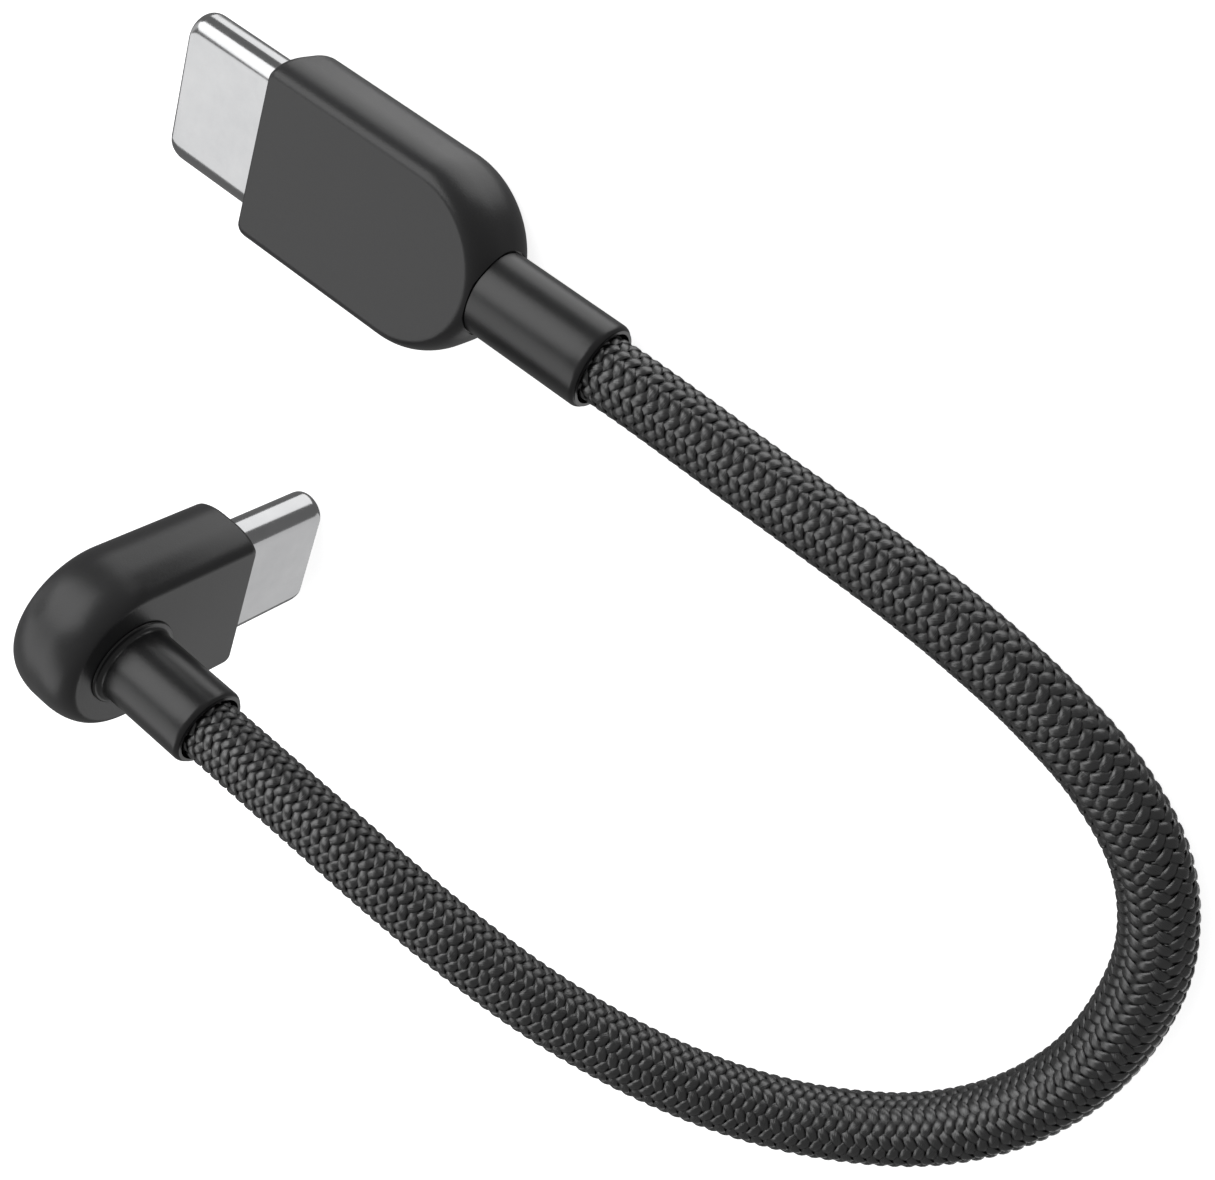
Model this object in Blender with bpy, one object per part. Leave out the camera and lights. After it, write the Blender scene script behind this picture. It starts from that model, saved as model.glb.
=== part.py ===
"""A short braided charging cable: a straight plug, a right-angle plug and the cord between them.

Metres, +Z up. The straight plug lies on its broad face and points along -X. The right-angle plug
stands on the nose of its shell, and its cord leaves along +X. The origin is on the surface that
both plugs rest on, under the middle of the box around the two plugs.

Each plug is built in its own frame: x = 0 is the housing's front face and x runs back from the
shell, y runs across the broad face and z through the thickness. An empty places each plug so that
its cord leaves from the cord's own end point.
"""

import math

import bmesh
import bpy
from mathutils import Vector

MM = 0.001

# Metal shell: an oval tube with full-round sides
SHELL_WIDTH = 8.25 * MM
SHELL_HEIGHT = 2.40 * MM
SHELL_WALL = 0.22 * MM
SHELL_REACH = 6.65 * MM
SHELL_TAIL = 3.0 * MM
SHELL_LIP = 0.10 * MM

# Gap between assembled pieces
CLEARANCE = 0.05 * MM

# Housing: it stands out round the shell, flat at the front and round at the cord's end
HOUSING_SIDE_MARGIN = 0.925 * MM
HOUSING_FACE_MARGIN = 1.15 * MM
HOUSING_WIDTH = SHELL_WIDTH + 2 * HOUSING_SIDE_MARGIN
HOUSING_THICKNESS = SHELL_HEIGHT + 2 * HOUSING_FACE_MARGIN
HOUSING_WALL = 0.6 * MM
STRAIGHT_LENGTH = 15.1 * MM
ANGLED_LENGTH = 12.5 * MM
EDGE_INSET = 0.93 * MM
EDGE_DEPTH = 1.95 * MM
STRAIGHT_BACK_WALL = 1.8 * MM
ANGLED_BACK_WALL = HOUSING_WALL
SEAT_DEPTH = 0.6 * MM
ANGLED_CORD_TO_END = 4.5 * MM
ANGLED_CORD_SETBACK = ANGLED_LENGTH - ANGLED_CORD_TO_END

# Cord, strain relief and the crimp inside each plug
CORD_RADIUS = 1.75 * MM
JACKET = 0.35 * MM
CORE_RADIUS = CORD_RADIUS - JACKET
RELIEF_WALL = 0.50 * MM
RELIEF_RADIUS = CORD_RADIUS + RELIEF_WALL
RELIEF_ROOT_RADIUS = CORE_RADIUS + RELIEF_WALL
RELIEF_LIP = 0.30 * MM
RELIEF_STOP = 0.60 * MM
STRAIGHT_RELIEF_LENGTH = 6.95 * MM
ANGLED_RELIEF_LENGTH = 6.0 * MM
STRAIGHT_ROOT_LENGTH = 1.6 * MM
ANGLED_ROOT_LENGTH = 0.5 * MM
COLLAR_WIDTH = 0.40 * MM
COLLAR_HEIGHT = 0.35 * MM
FERRULE_WALL = 0.20 * MM
STRAIGHT_FERRULE_LENGTH = 1.95 * MM
ANGLED_FERRULE_LENGTH = 1.20 * MM
CORE_PROUD = 0.2 * MM

# Contact carrier, contacts, latch and ground springs
CARRIER_TAIL = 2.9 * MM
CARRIER_SETBACK = 0.30 * MM
CARRIER_CHEEK = 0.455 * MM
CARRIER_ROOF = 0.13 * MM
CARRIER_HALF_WIDTH = SHELL_WIDTH / 2 - SHELL_WALL - CLEARANCE
CARRIER_HALF_HEIGHT = SHELL_HEIGHT / 2 - SHELL_WALL - CLEARANCE
TONGUE_HALF_WIDTH = CARRIER_HALF_WIDTH - CARRIER_CHEEK
TONGUE_HALF_HEIGHT = 0.43 * MM
TONGUE_DEPTH = 5.85 * MM
CONTACT_PITCH = 0.50 * MM
CONTACT_WIDTH = 0.25 * MM
CONTACT_THICKNESS = 0.12 * MM
CONTACT_TRAVEL = 0.14 * MM
CONTACT_DIP = 0.42 * MM
CONTACT_FRONT = 4.65 * MM
CONTACT_TAIL = 1.1 * MM
CHANNEL_ROOF = CARRIER_HALF_HEIGHT - CARRIER_ROOF
CONTACT_HEIGHT = CHANNEL_ROOF - CONTACT_TRAVEL
LATCH_THICKNESS = 0.20 * MM
LATCH_HALF_WIDTH = TONGUE_HALF_WIDTH + 0.25 * MM
LATCH_FRONT = 5.70 * MM
SPRING_THICKNESS = 0.10 * MM
SPRING_FINGER_WIDTH = 0.70 * MM
SPRING_FINGER_PITCH = 1.30 * MM
SPRING_FINGERS = 4
SPRING_FRONT = 6.20 * MM
SPRING_HINGE = 5.75 * MM
SPRING_END = 4.95 * MM
SPRING_DIP = 0.50 * MM

# Shield, inner mould, circuit board, chip and wires
MOULD_SIDE = 0.40 * MM
MOULD_SKIN = 0.20 * MM
MOULD_HALF_WIDTH = HOUSING_WIDTH / 2 - HOUSING_WALL - CLEARANCE
MOULD_HALF_HEIGHT = HOUSING_THICKNESS / 2 - HOUSING_WALL - CLEARANCE
SHIELD_WALL = 0.15 * MM
SHIELD_HALF_WIDTH = MOULD_HALF_WIDTH - MOULD_SIDE - CLEARANCE
SHIELD_HALF_HEIGHT = MOULD_HALF_HEIGHT - MOULD_SKIN - CLEARANCE
SHIELD_TAB_HALF_WIDTH = 2.7 * MM
SHIELD_TAB_REACH = 1.8 * MM
STRAIGHT_SHIELD_CORNER = 1.0 * MM
STRAIGHT_CRIMP_ROOM = 1.0 * MM
BOARD_THICKNESS = 0.80 * MM
BOARD_SIDE_GAP = 0.30 * MM
BOARD_HALF_WIDTH = SHIELD_HALF_WIDTH - SHIELD_WALL - BOARD_SIDE_GAP
BOARD_FRONT = 3.2 * MM
STRAIGHT_BOARD_TO_SHIELD = 1.3 * MM
ANGLED_BOARD_TO_CORD = 2.1 * MM
CHIP_SIDE = 1.6 * MM
CHIP_HEIGHT = 0.6 * MM
CHIP_TO_BOARD_BACK = 0.15 * MM
WIRE_RADIUS = 0.25 * MM
WIRE_PITCH = 0.60 * MM
PAD_PITCH = 1.20 * MM

# Gap at the two ends of the free cord
CORD_GAP = 0.3 * MM

# Round stretches: steps in a quarter circle
FINE_STEPS = 8
COARSE_STEPS = 4

# The free cord's centreline, from the straight plug's mouth to the right-angle plug's mouth, in mm
CORD_ROUTE_MM = [
    (14.05, 12.0, 2.35),
    (16.5, 12.0, 2.3),
    (19.6, 11.8, 2.05),
    (23.0, 11.6, 1.85),
    (27.0, 11.5, 1.78),
    (31.0, 11.4, 1.78),
    (35.0, 11.1, 1.78),
    (39.0, 10.5, 1.78),
    (43.2, 9.3, 1.78),
    (46.8, 7.1, 1.78),
    (49.2, 3.7, 1.85),
    (50.3, -0.4, 2.05),
    (50.3, -4.6, 2.55),
    (49.0, -8.5, 3.5),
    (46.5, -11.5, 4.9),
    (43.1, -13.5, 6.5),
    (39.4, -14.5, 8.2),
    (35.5, -14.7, 9.9),
    (31.5, -14.5, 11.35),
    (27.5, -14.0, 12.55),
    (23.4, -13.3, 13.5),
    (19.3, -12.65, 14.15),
    (15.1, -12.2, 14.5),
    (10.8, -12.0, 14.65),
    (6.6, -12.0, 14.65),
]
CORD_POINT_SPACING = 2.4 * MM


def clear_scene():
    for obj in list(bpy.data.objects):
        bpy.data.objects.remove(obj, do_unlink=True)


def make_material(name, colour, roughness, metallic=0.0):
    material = bpy.data.materials.new(name)
    material.use_nodes = True
    shader = material.node_tree.nodes["Principled BSDF"]
    shader.inputs["Base Color"].default_value = (*colour, 1.0)
    shader.inputs["Roughness"].default_value = roughness
    shader.inputs["Metallic"].default_value = metallic
    return material


# Rings of points that a shape is lofted through


def corner_arc(centre_a, centre_b, radius, start_angle, steps):
    """Points of a quarter circle in a plane, from start_angle on, turning anticlockwise."""
    arc = []
    for i in range(steps + 1):
        angle = start_angle + math.pi / 2 * i / steps
        arc.append((centre_a + radius * math.cos(angle), centre_b + radius * math.sin(angle)))
    return arc


def oval_ring(x, width, height):
    """An oval with full-round sides, across the plug at x."""
    radius = height / 2
    reach = width / 2 - radius
    outline = corner_arc(reach, 0, radius, -math.pi / 2, FINE_STEPS)
    outline += corner_arc(reach, 0, radius, 0, FINE_STEPS)[1:]
    outline += corner_arc(-reach, 0, radius, math.pi / 2, FINE_STEPS)
    outline += corner_arc(-reach, 0, radius, math.pi, FINE_STEPS)[1:]
    return [Vector((x, y, z)) for y, z in outline]


def plan_ring(z, front, back, half_width, corner, steps=FINE_STEPS):
    """The plug's outline seen on its broad face: square at the front, rounded by corner at the back."""
    outline = [(front, -half_width)]
    outline += corner_arc(back - corner, -half_width + corner, corner, -math.pi / 2, steps)
    second = corner_arc(back - corner, half_width - corner, corner, 0, steps)
    full_round = half_width - corner < CLEARANCE / 10
    outline += second[1:] if full_round else second
    outline.append((front, half_width))
    return [Vector((x, y, z)) for x, y in outline]


def circle_ring(s, radius, steps):
    """A circle about the s axis, where s is the distance along a turned piece."""
    count = 4 * steps
    ring = []
    for i in range(count):
        angle = 2 * math.pi * i / count
        ring.append(Vector((s, radius * math.cos(angle), radius * math.sin(angle))))
    return ring


def loft(mesh_name, rings, closed=False):
    """One closed body through the rings. closed joins the last ring to the first, as in a tube."""
    bm = bmesh.new()
    loops = [[bm.verts.new(point) for point in ring] for ring in rings]
    pairs = list(zip(loops, loops[1:]))
    if closed:
        pairs.append((loops[-1], loops[0]))
    else:
        bm.faces.new(loops[0])
        bm.faces.new(loops[-1])
    for first, second in pairs:
        for i in range(len(first)):
            j = (i + 1) % len(first)
            bm.faces.new((first[i], first[j], second[j], second[i]))
    return finish_mesh(mesh_name, bm)


def finish_mesh(mesh_name, bm):
    bmesh.ops.recalc_face_normals(bm, faces=bm.faces)
    mesh = bpy.data.meshes.new(mesh_name)
    bm.to_mesh(mesh)
    bm.free()
    return mesh


def add_boxes(bm, boxes):
    for low, high in boxes:
        corners = bmesh.ops.create_cube(bm, size=1.0)["verts"]
        centre = (Vector(low) + Vector(high)) / 2
        size = Vector(high) - Vector(low)
        for corner in corners:
            corner.co = centre + Vector(a * b for a, b in zip(corner.co, size))


def boxes_mesh(mesh_name, boxes):
    bm = bmesh.new()
    add_boxes(bm, boxes)
    return finish_mesh(mesh_name, bm)


def prism(mesh_name, outline, low, high):
    """A flat plate: an outline of x, y points between two heights."""
    bottom = [Vector((x, y, low)) for x, y in outline]
    top = [Vector((x, y, high)) for x, y in outline]
    return loft(mesh_name, [bottom, top])


def turned(mesh_name, profile, steps, closed=True):
    """A piece turned about its s axis from a profile of (s, radius) points."""
    return loft(mesh_name, [circle_ring(s, radius, steps) for s, radius in profile], closed)


def bent_sheet(mesh_name, path, edges, is_solid, thickness):
    """Sheet metal bent along path, which is x, z points, and cut across into the strips of edges.

    is_solid says which cells, between two points of the path and two edges, are metal.
    """
    bm = bmesh.new()
    normals = []
    for i in range(len(path)):
        before = Vector(path[max(i - 1, 0)])
        after = Vector(path[min(i + 1, len(path) - 1)])
        along = (after - before).normalized()
        normals.append(Vector((-along.y, along.x)))
    verts = {}

    def corner(i, j, side):
        key = (i, j, side)
        if key not in verts:
            point = Vector(path[i]) + normals[i] * side * thickness / 2
            verts[key] = bm.verts.new((point.x, edges[j], point.y))
        return verts[key]

    cells = {
        (i, j)
        for i in range(len(path) - 1)
        for j in range(len(edges) - 1)
        if is_solid(i, j)
    }
    for i, j in sorted(cells):
        square = [(i, j), (i + 1, j), (i + 1, j + 1), (i, j + 1)]
        neighbours = [(i, j - 1), (i + 1, j), (i, j + 1), (i - 1, j)]
        bm.faces.new([corner(a, b, 1) for a, b in square])
        bm.faces.new([corner(a, b, -1) for a, b in reversed(square)])
        for k, neighbour in enumerate(neighbours):
            if neighbour in cells:
                continue
            a, b = square[k], square[(k + 1) % 4]
            bm.faces.new((corner(*a, 1), corner(*a, -1), corner(*b, -1), corner(*b, 1)))
    return finish_mesh(mesh_name, bm)


# Objects


def add_object(name, data, frame, material=None):
    obj = bpy.data.objects.new(name, data)
    obj.parent = frame
    if material:
        data.materials.append(material)
    if material and obj.type == "MESH":
        data.shade_smooth()
        data.set_sharp_from_angle(angle=math.radians(35))
    bpy.context.scene.collection.objects.link(obj)
    return obj


def cut(obj, label, cutter_mesh, turn=None, place=(0, 0, 0), operation="DIFFERENCE"):
    """Cuts obj with a hidden cutter in the same plug frame, or joins the cutter to it."""
    cutter = add_object(f"{obj.name}_{label}_cutter", cutter_mesh, obj.parent)
    cutter.location = place
    if turn:
        cutter.rotation_euler = turn
    cutter.hide_render = True
    cutter.display_type = "WIRE"
    modifier = obj.modifiers.new(label, "BOOLEAN")
    modifier.operation = operation
    modifier.object = cutter


ALONG_X = (0, 0, 0)
ALONG_Z = (0, -math.pi / 2, 0)


def rod_mesh(mesh_name, start, end, radius, steps=FINE_STEPS):
    return turned(mesh_name, [(start, radius), (end, radius)], steps, closed=False)


# Pieces of a plug


def add_shell(plug, frame, material):
    """The drawn metal shell, open at both ends, with a rounded mouth."""
    mouth = -SHELL_REACH
    bore_width = SHELL_WIDTH - 2 * SHELL_WALL
    bore_height = SHELL_HEIGHT - 2 * SHELL_WALL
    rings = [
        oval_ring(SHELL_TAIL, SHELL_WIDTH, SHELL_HEIGHT),
        oval_ring(mouth + SHELL_LIP, SHELL_WIDTH, SHELL_HEIGHT),
        oval_ring(mouth + SHELL_LIP / 3, SHELL_WIDTH - SHELL_LIP / 2, SHELL_HEIGHT - SHELL_LIP / 2),
        oval_ring(mouth, SHELL_WIDTH - 1.5 * SHELL_LIP, SHELL_HEIGHT - 1.5 * SHELL_LIP),
        oval_ring(mouth, bore_width, bore_height),
        oval_ring(SHELL_TAIL, bore_width, bore_height),
    ]
    return add_object(f"{plug}_shell", loft(f"{plug}_shell", rings, closed=True), frame, material)


def contact_side(row):
    """Row a is above the tongue slot, row b below it."""
    return 1 if row == "a" else -1


CONTACTS = {
    "a": (1, 4, 5, 6, 7, 9, 12),
    "b": (1, 4, 5, 9, 12),
}


def contact_places():
    """(row, number, y) of each contact. Row b is numbered the other way, as the plug is reversible."""
    middle = 6.5
    for row, numbers in CONTACTS.items():
        for number in numbers:
            yield row, number, contact_side(row) * (middle - number) * CONTACT_PITCH


def mirrored_box(low, high, side):
    """The box, or its mirror image below the mid-plane when side is -1."""
    if side > 0:
        return low, high
    return (low[0], low[1], -high[2]), (high[0], high[1], -low[2])


def finger_centres():
    middle = (SPRING_FINGERS - 1) / 2
    return [(i - middle) * SPRING_FINGER_PITCH for i in range(SPRING_FINGERS)]


def add_carrier(plug, frame, material):
    """The moulded contact carrier, with the tongue slot, contact channels and spring windows."""
    front = -SHELL_REACH + CARRIER_SETBACK
    width = 2 * CARRIER_HALF_WIDTH
    height = 2 * CARRIER_HALF_HEIGHT
    rings = [oval_ring(front, width, height), oval_ring(CARRIER_TAIL, width, height)]
    carrier = add_object(f"{plug}_contact_carrier", loft(f"{plug}_carrier", rings), frame, material)

    ahead = front - SHELL_WALL
    behind = CARRIER_TAIL + SHELL_WALL
    outside = SHELL_HEIGHT
    slot_end = -SHELL_REACH + TONGUE_DEPTH
    slot = [
        ((ahead, -TONGUE_HALF_WIDTH, -TONGUE_HALF_HEIGHT), (slot_end, TONGUE_HALF_WIDTH, TONGUE_HALF_HEIGHT))
    ]
    cut(carrier, "tongue_slot", boxes_mesh("tongue_slot", slot))

    latch_y = LATCH_HALF_WIDTH + CLEARANCE
    latch_z = LATCH_THICKNESS / 2 + CLEARANCE
    latch = [((-LATCH_FRONT - 4 * CLEARANCE, -latch_y, -latch_z), (behind, latch_y, latch_z))]
    cut(carrier, "latch_slot", boxes_mesh("latch_slot", latch))

    channels = []
    half = CONTACT_WIDTH / 2 + CLEARANCE
    for row, _, y in contact_places():
        low = (-CONTACT_FRONT - 2 * CLEARANCE, y - half, LATCH_THICKNESS * 1.75)
        high = (behind, y + half, CHANNEL_ROOF)
        channels.append(mirrored_box(low, high, contact_side(row)))
    cut(carrier, "channels", boxes_mesh("channels", channels))

    recesses = []
    windows = []
    bar_y = finger_centres()[-1] + SPRING_FINGER_WIDTH / 2 + 5 * CLEARANCE
    floor = CARRIER_HALF_HEIGHT - SPRING_THICKNESS - CLEARANCE / 2
    for side in (1, -1):
        low = (-SPRING_FRONT - CLEARANCE, -bar_y - CLEARANCE, floor)
        high = (-SPRING_HINGE + CLEARANCE, bar_y + CLEARANCE, outside)
        recesses.append(mirrored_box(low, high, side))
        for centre in finger_centres():
            reach = SPRING_FINGER_WIDTH / 2 + CLEARANCE
            low = (-SPRING_HINGE - CLEARANCE, centre - reach, TONGUE_HALF_HEIGHT / 2)
            high = (-SPRING_END + 2 * CLEARANCE, centre + reach, outside)
            windows.append(mirrored_box(low, high, side))
    cut(carrier, "spring_recess", boxes_mesh("spring_recess", recesses))
    cut(carrier, "spring_windows", boxes_mesh("spring_windows", windows))


def add_contacts(plug, frame, material):
    """Stamped contacts: a solder tail on the board, a beam in its channel and a dipped tip."""
    pad = BOARD_THICKNESS / 2 + CLEARANCE + CONTACT_THICKNESS / 2
    tail = BOARD_FRONT + CONTACT_TAIL
    path = [
        (tail, pad),
        (BOARD_FRONT + 0.1 * MM, pad),
        (CARRIER_TAIL - 0.2 * MM, CONTACT_HEIGHT),
        (-2.6 * MM, CONTACT_HEIGHT),
        (-3.9 * MM, CONTACT_DIP),
        (-4.3 * MM, CONTACT_DIP),
        (-CONTACT_FRONT, CONTACT_DIP + CONTACT_TRAVEL),
    ]
    for row, number, y in contact_places():
        side = contact_side(row)
        bent = [(x, side * z) for x, z in path]
        edges = [y - CONTACT_WIDTH / 2, y + CONTACT_WIDTH / 2]
        mesh = bent_sheet(f"{plug}_contact", bent, edges, lambda i, j: True, CONTACT_THICKNESS)
        add_object(f"{plug}_contact_{row}{number}", mesh, frame, material)


def add_latch(plug, frame, material):
    """The mid-plate between the contact rows, whose two side arms hook into the socket's tongue."""
    arm = 0.20 * MM
    hook = 0.30 * MM
    hook_length = 0.5 * MM
    plate_front = -SHELL_REACH + TONGUE_DEPTH + 4 * CLEARANCE
    plate_back = CARRIER_TAIL - 2 * CLEARANCE
    outer = LATCH_HALF_WIDTH
    inner = outer - arm
    half = [
        (plate_back, outer),
        (-LATCH_FRONT, outer),
        (-LATCH_FRONT, inner),
        (-LATCH_FRONT + arm, inner - hook),
        (-LATCH_FRONT + arm + hook_length, inner - hook),
        (-LATCH_FRONT + 2 * arm + hook_length, inner),
        (plate_front, inner),
    ]
    outline = half + [(x, -y) for x, y in reversed(half)]
    mesh = prism(f"{plug}_latch", outline, -LATCH_THICKNESS / 2, LATCH_THICKNESS / 2)
    add_object(f"{plug}_latch_plate", mesh, frame, material)


def add_ground_springs(plug, frame, material):
    """Two sprung ground plates, each a bar with fingers that dip through the carrier's windows."""
    bar = CARRIER_HALF_HEIGHT - SPRING_THICKNESS / 2
    path = [
        (-SPRING_END, SPRING_DIP + 0.1 * MM),
        (-SPRING_END - 0.2 * MM, SPRING_DIP),
        (-SPRING_END - 0.4 * MM, SPRING_DIP),
        (-SPRING_HINGE, bar),
        (-SPRING_FRONT, bar),
    ]
    bar_cell = len(path) - 2
    centres = finger_centres()
    margin = 5 * CLEARANCE
    edges = [centres[0] - SPRING_FINGER_WIDTH / 2 - margin]
    for centre in centres:
        edges += [centre - SPRING_FINGER_WIDTH / 2, centre + SPRING_FINGER_WIDTH / 2]
    edges.append(centres[-1] + SPRING_FINGER_WIDTH / 2 + margin)

    def is_solid(i, j):
        return i == bar_cell or j % 2 == 1

    for label, side in (("upper", 1), ("lower", -1)):
        bent = [(x, side * z) for x, z in path]
        mesh = bent_sheet(f"{plug}_{label}_spring", bent, edges, is_solid, SPRING_THICKNESS)
        add_object(f"{plug}_{label}_ground_spring", mesh, frame, material)


def add_board(plug, frame, material, back):
    notch = 0.4 * MM
    wide = BOARD_HALF_WIDTH
    half = [
        (BOARD_FRONT, wide - notch),
        (BOARD_FRONT + notch, wide),
        (back, wide),
    ]
    outline = half + [(x, -y) for x, y in reversed(half)]
    mesh = prism(f"{plug}_board", outline, -BOARD_THICKNESS / 2, BOARD_THICKNESS / 2)
    add_object(f"{plug}_circuit_board", mesh, frame, material)


def add_chip(plug, frame, material, board_back):
    """The marker chip that tells a charger how much current the cord carries."""
    low = BOARD_THICKNESS / 2 + CLEARANCE
    back = board_back - CHIP_TO_BOARD_BACK
    box = ((back - CHIP_SIDE, -CHIP_SIDE / 2, low), (back, CHIP_SIDE / 2, low + CHIP_HEIGHT))
    add_object(f"{plug}_marker_chip", boxes_mesh(f"{plug}_chip", [box]), frame, material)


def add_shields(plug, frame, material, back, corner, cord_hole):
    """Two folded shield halves over the board, each with a tab on the shell's tail."""
    front = SHELL_TAIL + 2 * CLEARANCE
    for label, side in (("upper", 1), ("lower", -1)):
        low = side * CLEARANCE / 2
        high = side * SHIELD_HALF_HEIGHT
        rings = [plan_ring(z, front, back, SHIELD_HALF_WIDTH, corner) for z in (low, high)]
        shield = add_object(f"{plug}_{label}_shield", loft(f"{plug}_shield", rings), frame, material)

        inner_width = SHIELD_HALF_WIDTH - SHIELD_WALL
        inner_corner = corner - SHIELD_WALL
        inner_back = back - SHIELD_WALL
        inner_top = side * (SHIELD_HALF_HEIGHT - SHIELD_WALL)
        inner_rings = [
            plan_ring(z, front - 1 * MM, inner_back, inner_width, inner_corner)
            for z in (-side * 1 * MM, inner_top)
        ]
        cut(shield, "inside", loft("shield_inside", inner_rings))

        tab_low = SHELL_HEIGHT / 2 + CLEARANCE
        tab = (
            (front - SHIELD_TAB_REACH, -SHIELD_TAB_HALF_WIDTH, tab_low),
            (front + 0.2 * MM, SHIELD_TAB_HALF_WIDTH, tab_low + SHIELD_WALL),
        )
        tab_mesh = boxes_mesh("shield_tab", [mirrored_box(*tab, side)])
        cut(shield, "tab", tab_mesh, operation="UNION")
        if cord_hole == "back":
            wire_hole = rod_mesh("wire_hole", back - 1 * MM, back + 1 * MM, 0.95 * CORE_RADIUS)
            cut(shield, "wire_hole", wire_hole, turn=ALONG_X)
        elif side > 0:
            hole_radius = CORE_RADIUS + FERRULE_WALL + 2 * CLEARANCE
            hole = rod_mesh("ferrule_hole", SHELL_HEIGHT / 4, HOUSING_THICKNESS, hole_radius)
            cut(shield, "ferrule_hole", hole, turn=ALONG_Z, place=(ANGLED_CORD_SETBACK, 0, 0))


def add_housing(plug, frame, material, length, back_wall, cord_exit, shield_back):
    """The outer housing: one moulding with the shell's opening in front and the cord's at the back."""
    half_width = HOUSING_WIDTH / 2
    half_height = HOUSING_THICKNESS / 2
    rings = []
    for side in (-1, 1):
        arc = []
        for i in range(COARSE_STEPS + 1):
            angle = math.pi / 2 * i / COARSE_STEPS
            inset = EDGE_INSET * (1 - math.cos(angle))
            height = half_height - EDGE_DEPTH + EDGE_DEPTH * math.sin(angle)
            reach = half_width - inset
            arc.append(plan_ring(side * height, 0, length - inset, reach, reach))
        rings += arc if side > 0 else arc[::-1]
    housing = add_object(f"{plug}_housing", loft(f"{plug}_housing", rings), frame, material)

    inner_half_width = MOULD_HALF_WIDTH + CLEARANCE
    inner_half_height = MOULD_HALF_HEIGHT + CLEARANCE
    cavity = [
        plan_ring(z, HOUSING_WALL, length - back_wall, inner_half_width, inner_half_width)
        for z in (-inner_half_height, inner_half_height)
    ]
    cut(housing, "cavity", loft("housing_cavity", cavity))

    opening_width = SHELL_WIDTH + 2 * CLEARANCE
    opening_height = SHELL_HEIGHT + 2 * CLEARANCE
    opening = [oval_ring(x, opening_width, opening_height) for x in (-HOUSING_WALL, 2 * HOUSING_WALL)]
    cut(housing, "shell_opening", loft("shell_opening", opening))

    hole_radius = RELIEF_ROOT_RADIUS + CLEARANCE
    if cord_exit == "back":
        hole = rod_mesh("cord_hole", shield_back, length + 1 * MM, hole_radius)
        cut(housing, "cord_hole", hole, turn=ALONG_X)
        seat = rod_mesh("seat", length - SEAT_DEPTH, length + 1 * MM, RELIEF_RADIUS + 2 * CLEARANCE)
        cut(housing, "seat", seat, turn=ALONG_X)
    else:
        hole = rod_mesh("cord_hole", inner_half_height / 2, HOUSING_THICKNESS, hole_radius)
        cut(housing, "cord_hole", hole, turn=ALONG_Z, place=(ANGLED_CORD_SETBACK, 0, 0))


def add_inner_mould(plug, frame, material, length, back_wall, cord_exit, shield_back, shield_corner):
    """The moulding that fills the housing round the shell's tail, the shield and the crimp."""
    front = HOUSING_WALL + CLEARANCE
    back = length - back_wall - CLEARANCE
    rings = [
        plan_ring(z, front, back, MOULD_HALF_WIDTH, MOULD_HALF_WIDTH)
        for z in (-MOULD_HALF_HEIGHT, MOULD_HALF_HEIGHT)
    ]
    mould = add_object(f"{plug}_inner_mould", loft(f"{plug}_inner_mould", rings), frame, material)

    pocket_width = SHELL_WIDTH + 2 * CLEARANCE
    pocket_height = SHELL_HEIGHT + 2 * CLEARANCE
    pocket_end = SHELL_TAIL + 3 * CLEARANCE
    pocket = [oval_ring(x, pocket_width, pocket_height) for x in (-1 * MM, pocket_end)]
    cut(mould, "shell_pocket", loft("shell_pocket", pocket))

    shield_front = SHELL_TAIL + CLEARANCE
    shield_width = SHIELD_HALF_WIDTH + CLEARANCE
    shield_height = SHIELD_HALF_HEIGHT + CLEARANCE
    shield_pocket = [
        plan_ring(z, shield_front, shield_back + CLEARANCE, shield_width, shield_corner + CLEARANCE)
        for z in (-shield_height, shield_height)
    ]
    cut(mould, "shield_pocket", loft("shield_pocket", shield_pocket))

    tab_front = SHELL_TAIL + 2 * CLEARANCE - SHIELD_TAB_REACH - CLEARANCE
    tab_width = SHIELD_TAB_HALF_WIDTH + CLEARANCE
    tab_height = SHELL_HEIGHT / 2 + SHIELD_WALL + 2 * CLEARANCE
    tabs = [((tab_front, -tab_width, -tab_height), (shield_front + 0.3 * MM, tab_width, tab_height))]
    cut(mould, "tab_pocket", boxes_mesh("tab_pocket", tabs))

    if cord_exit == "back":
        bore = rod_mesh("rear_bore", shield_back - 1 * MM, back + 1 * MM, RELIEF_ROOT_RADIUS + CLEARANCE)
        cut(mould, "rear_bore", bore, turn=ALONG_X)
    else:
        hole_radius = CORE_RADIUS + FERRULE_WALL + 2 * CLEARANCE
        hole = rod_mesh("ferrule_hole", SHELL_HEIGHT / 4, HOUSING_THICKNESS, hole_radius)
        cut(mould, "ferrule_hole", hole, turn=ALONG_Z, place=(ANGLED_CORD_SETBACK, 0, 0))


def lip_arc(s_end, radius, inwards):
    """Points of the rounded outer edge at a strain relief's mouth."""
    points = []
    for i in range(COARSE_STEPS + 1):
        angle = math.pi / 2 * i / COARSE_STEPS
        s = s_end - inwards * (1 - math.sin(angle))
        points.append((s, radius - inwards * (1 - math.cos(angle))))
    return points


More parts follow.
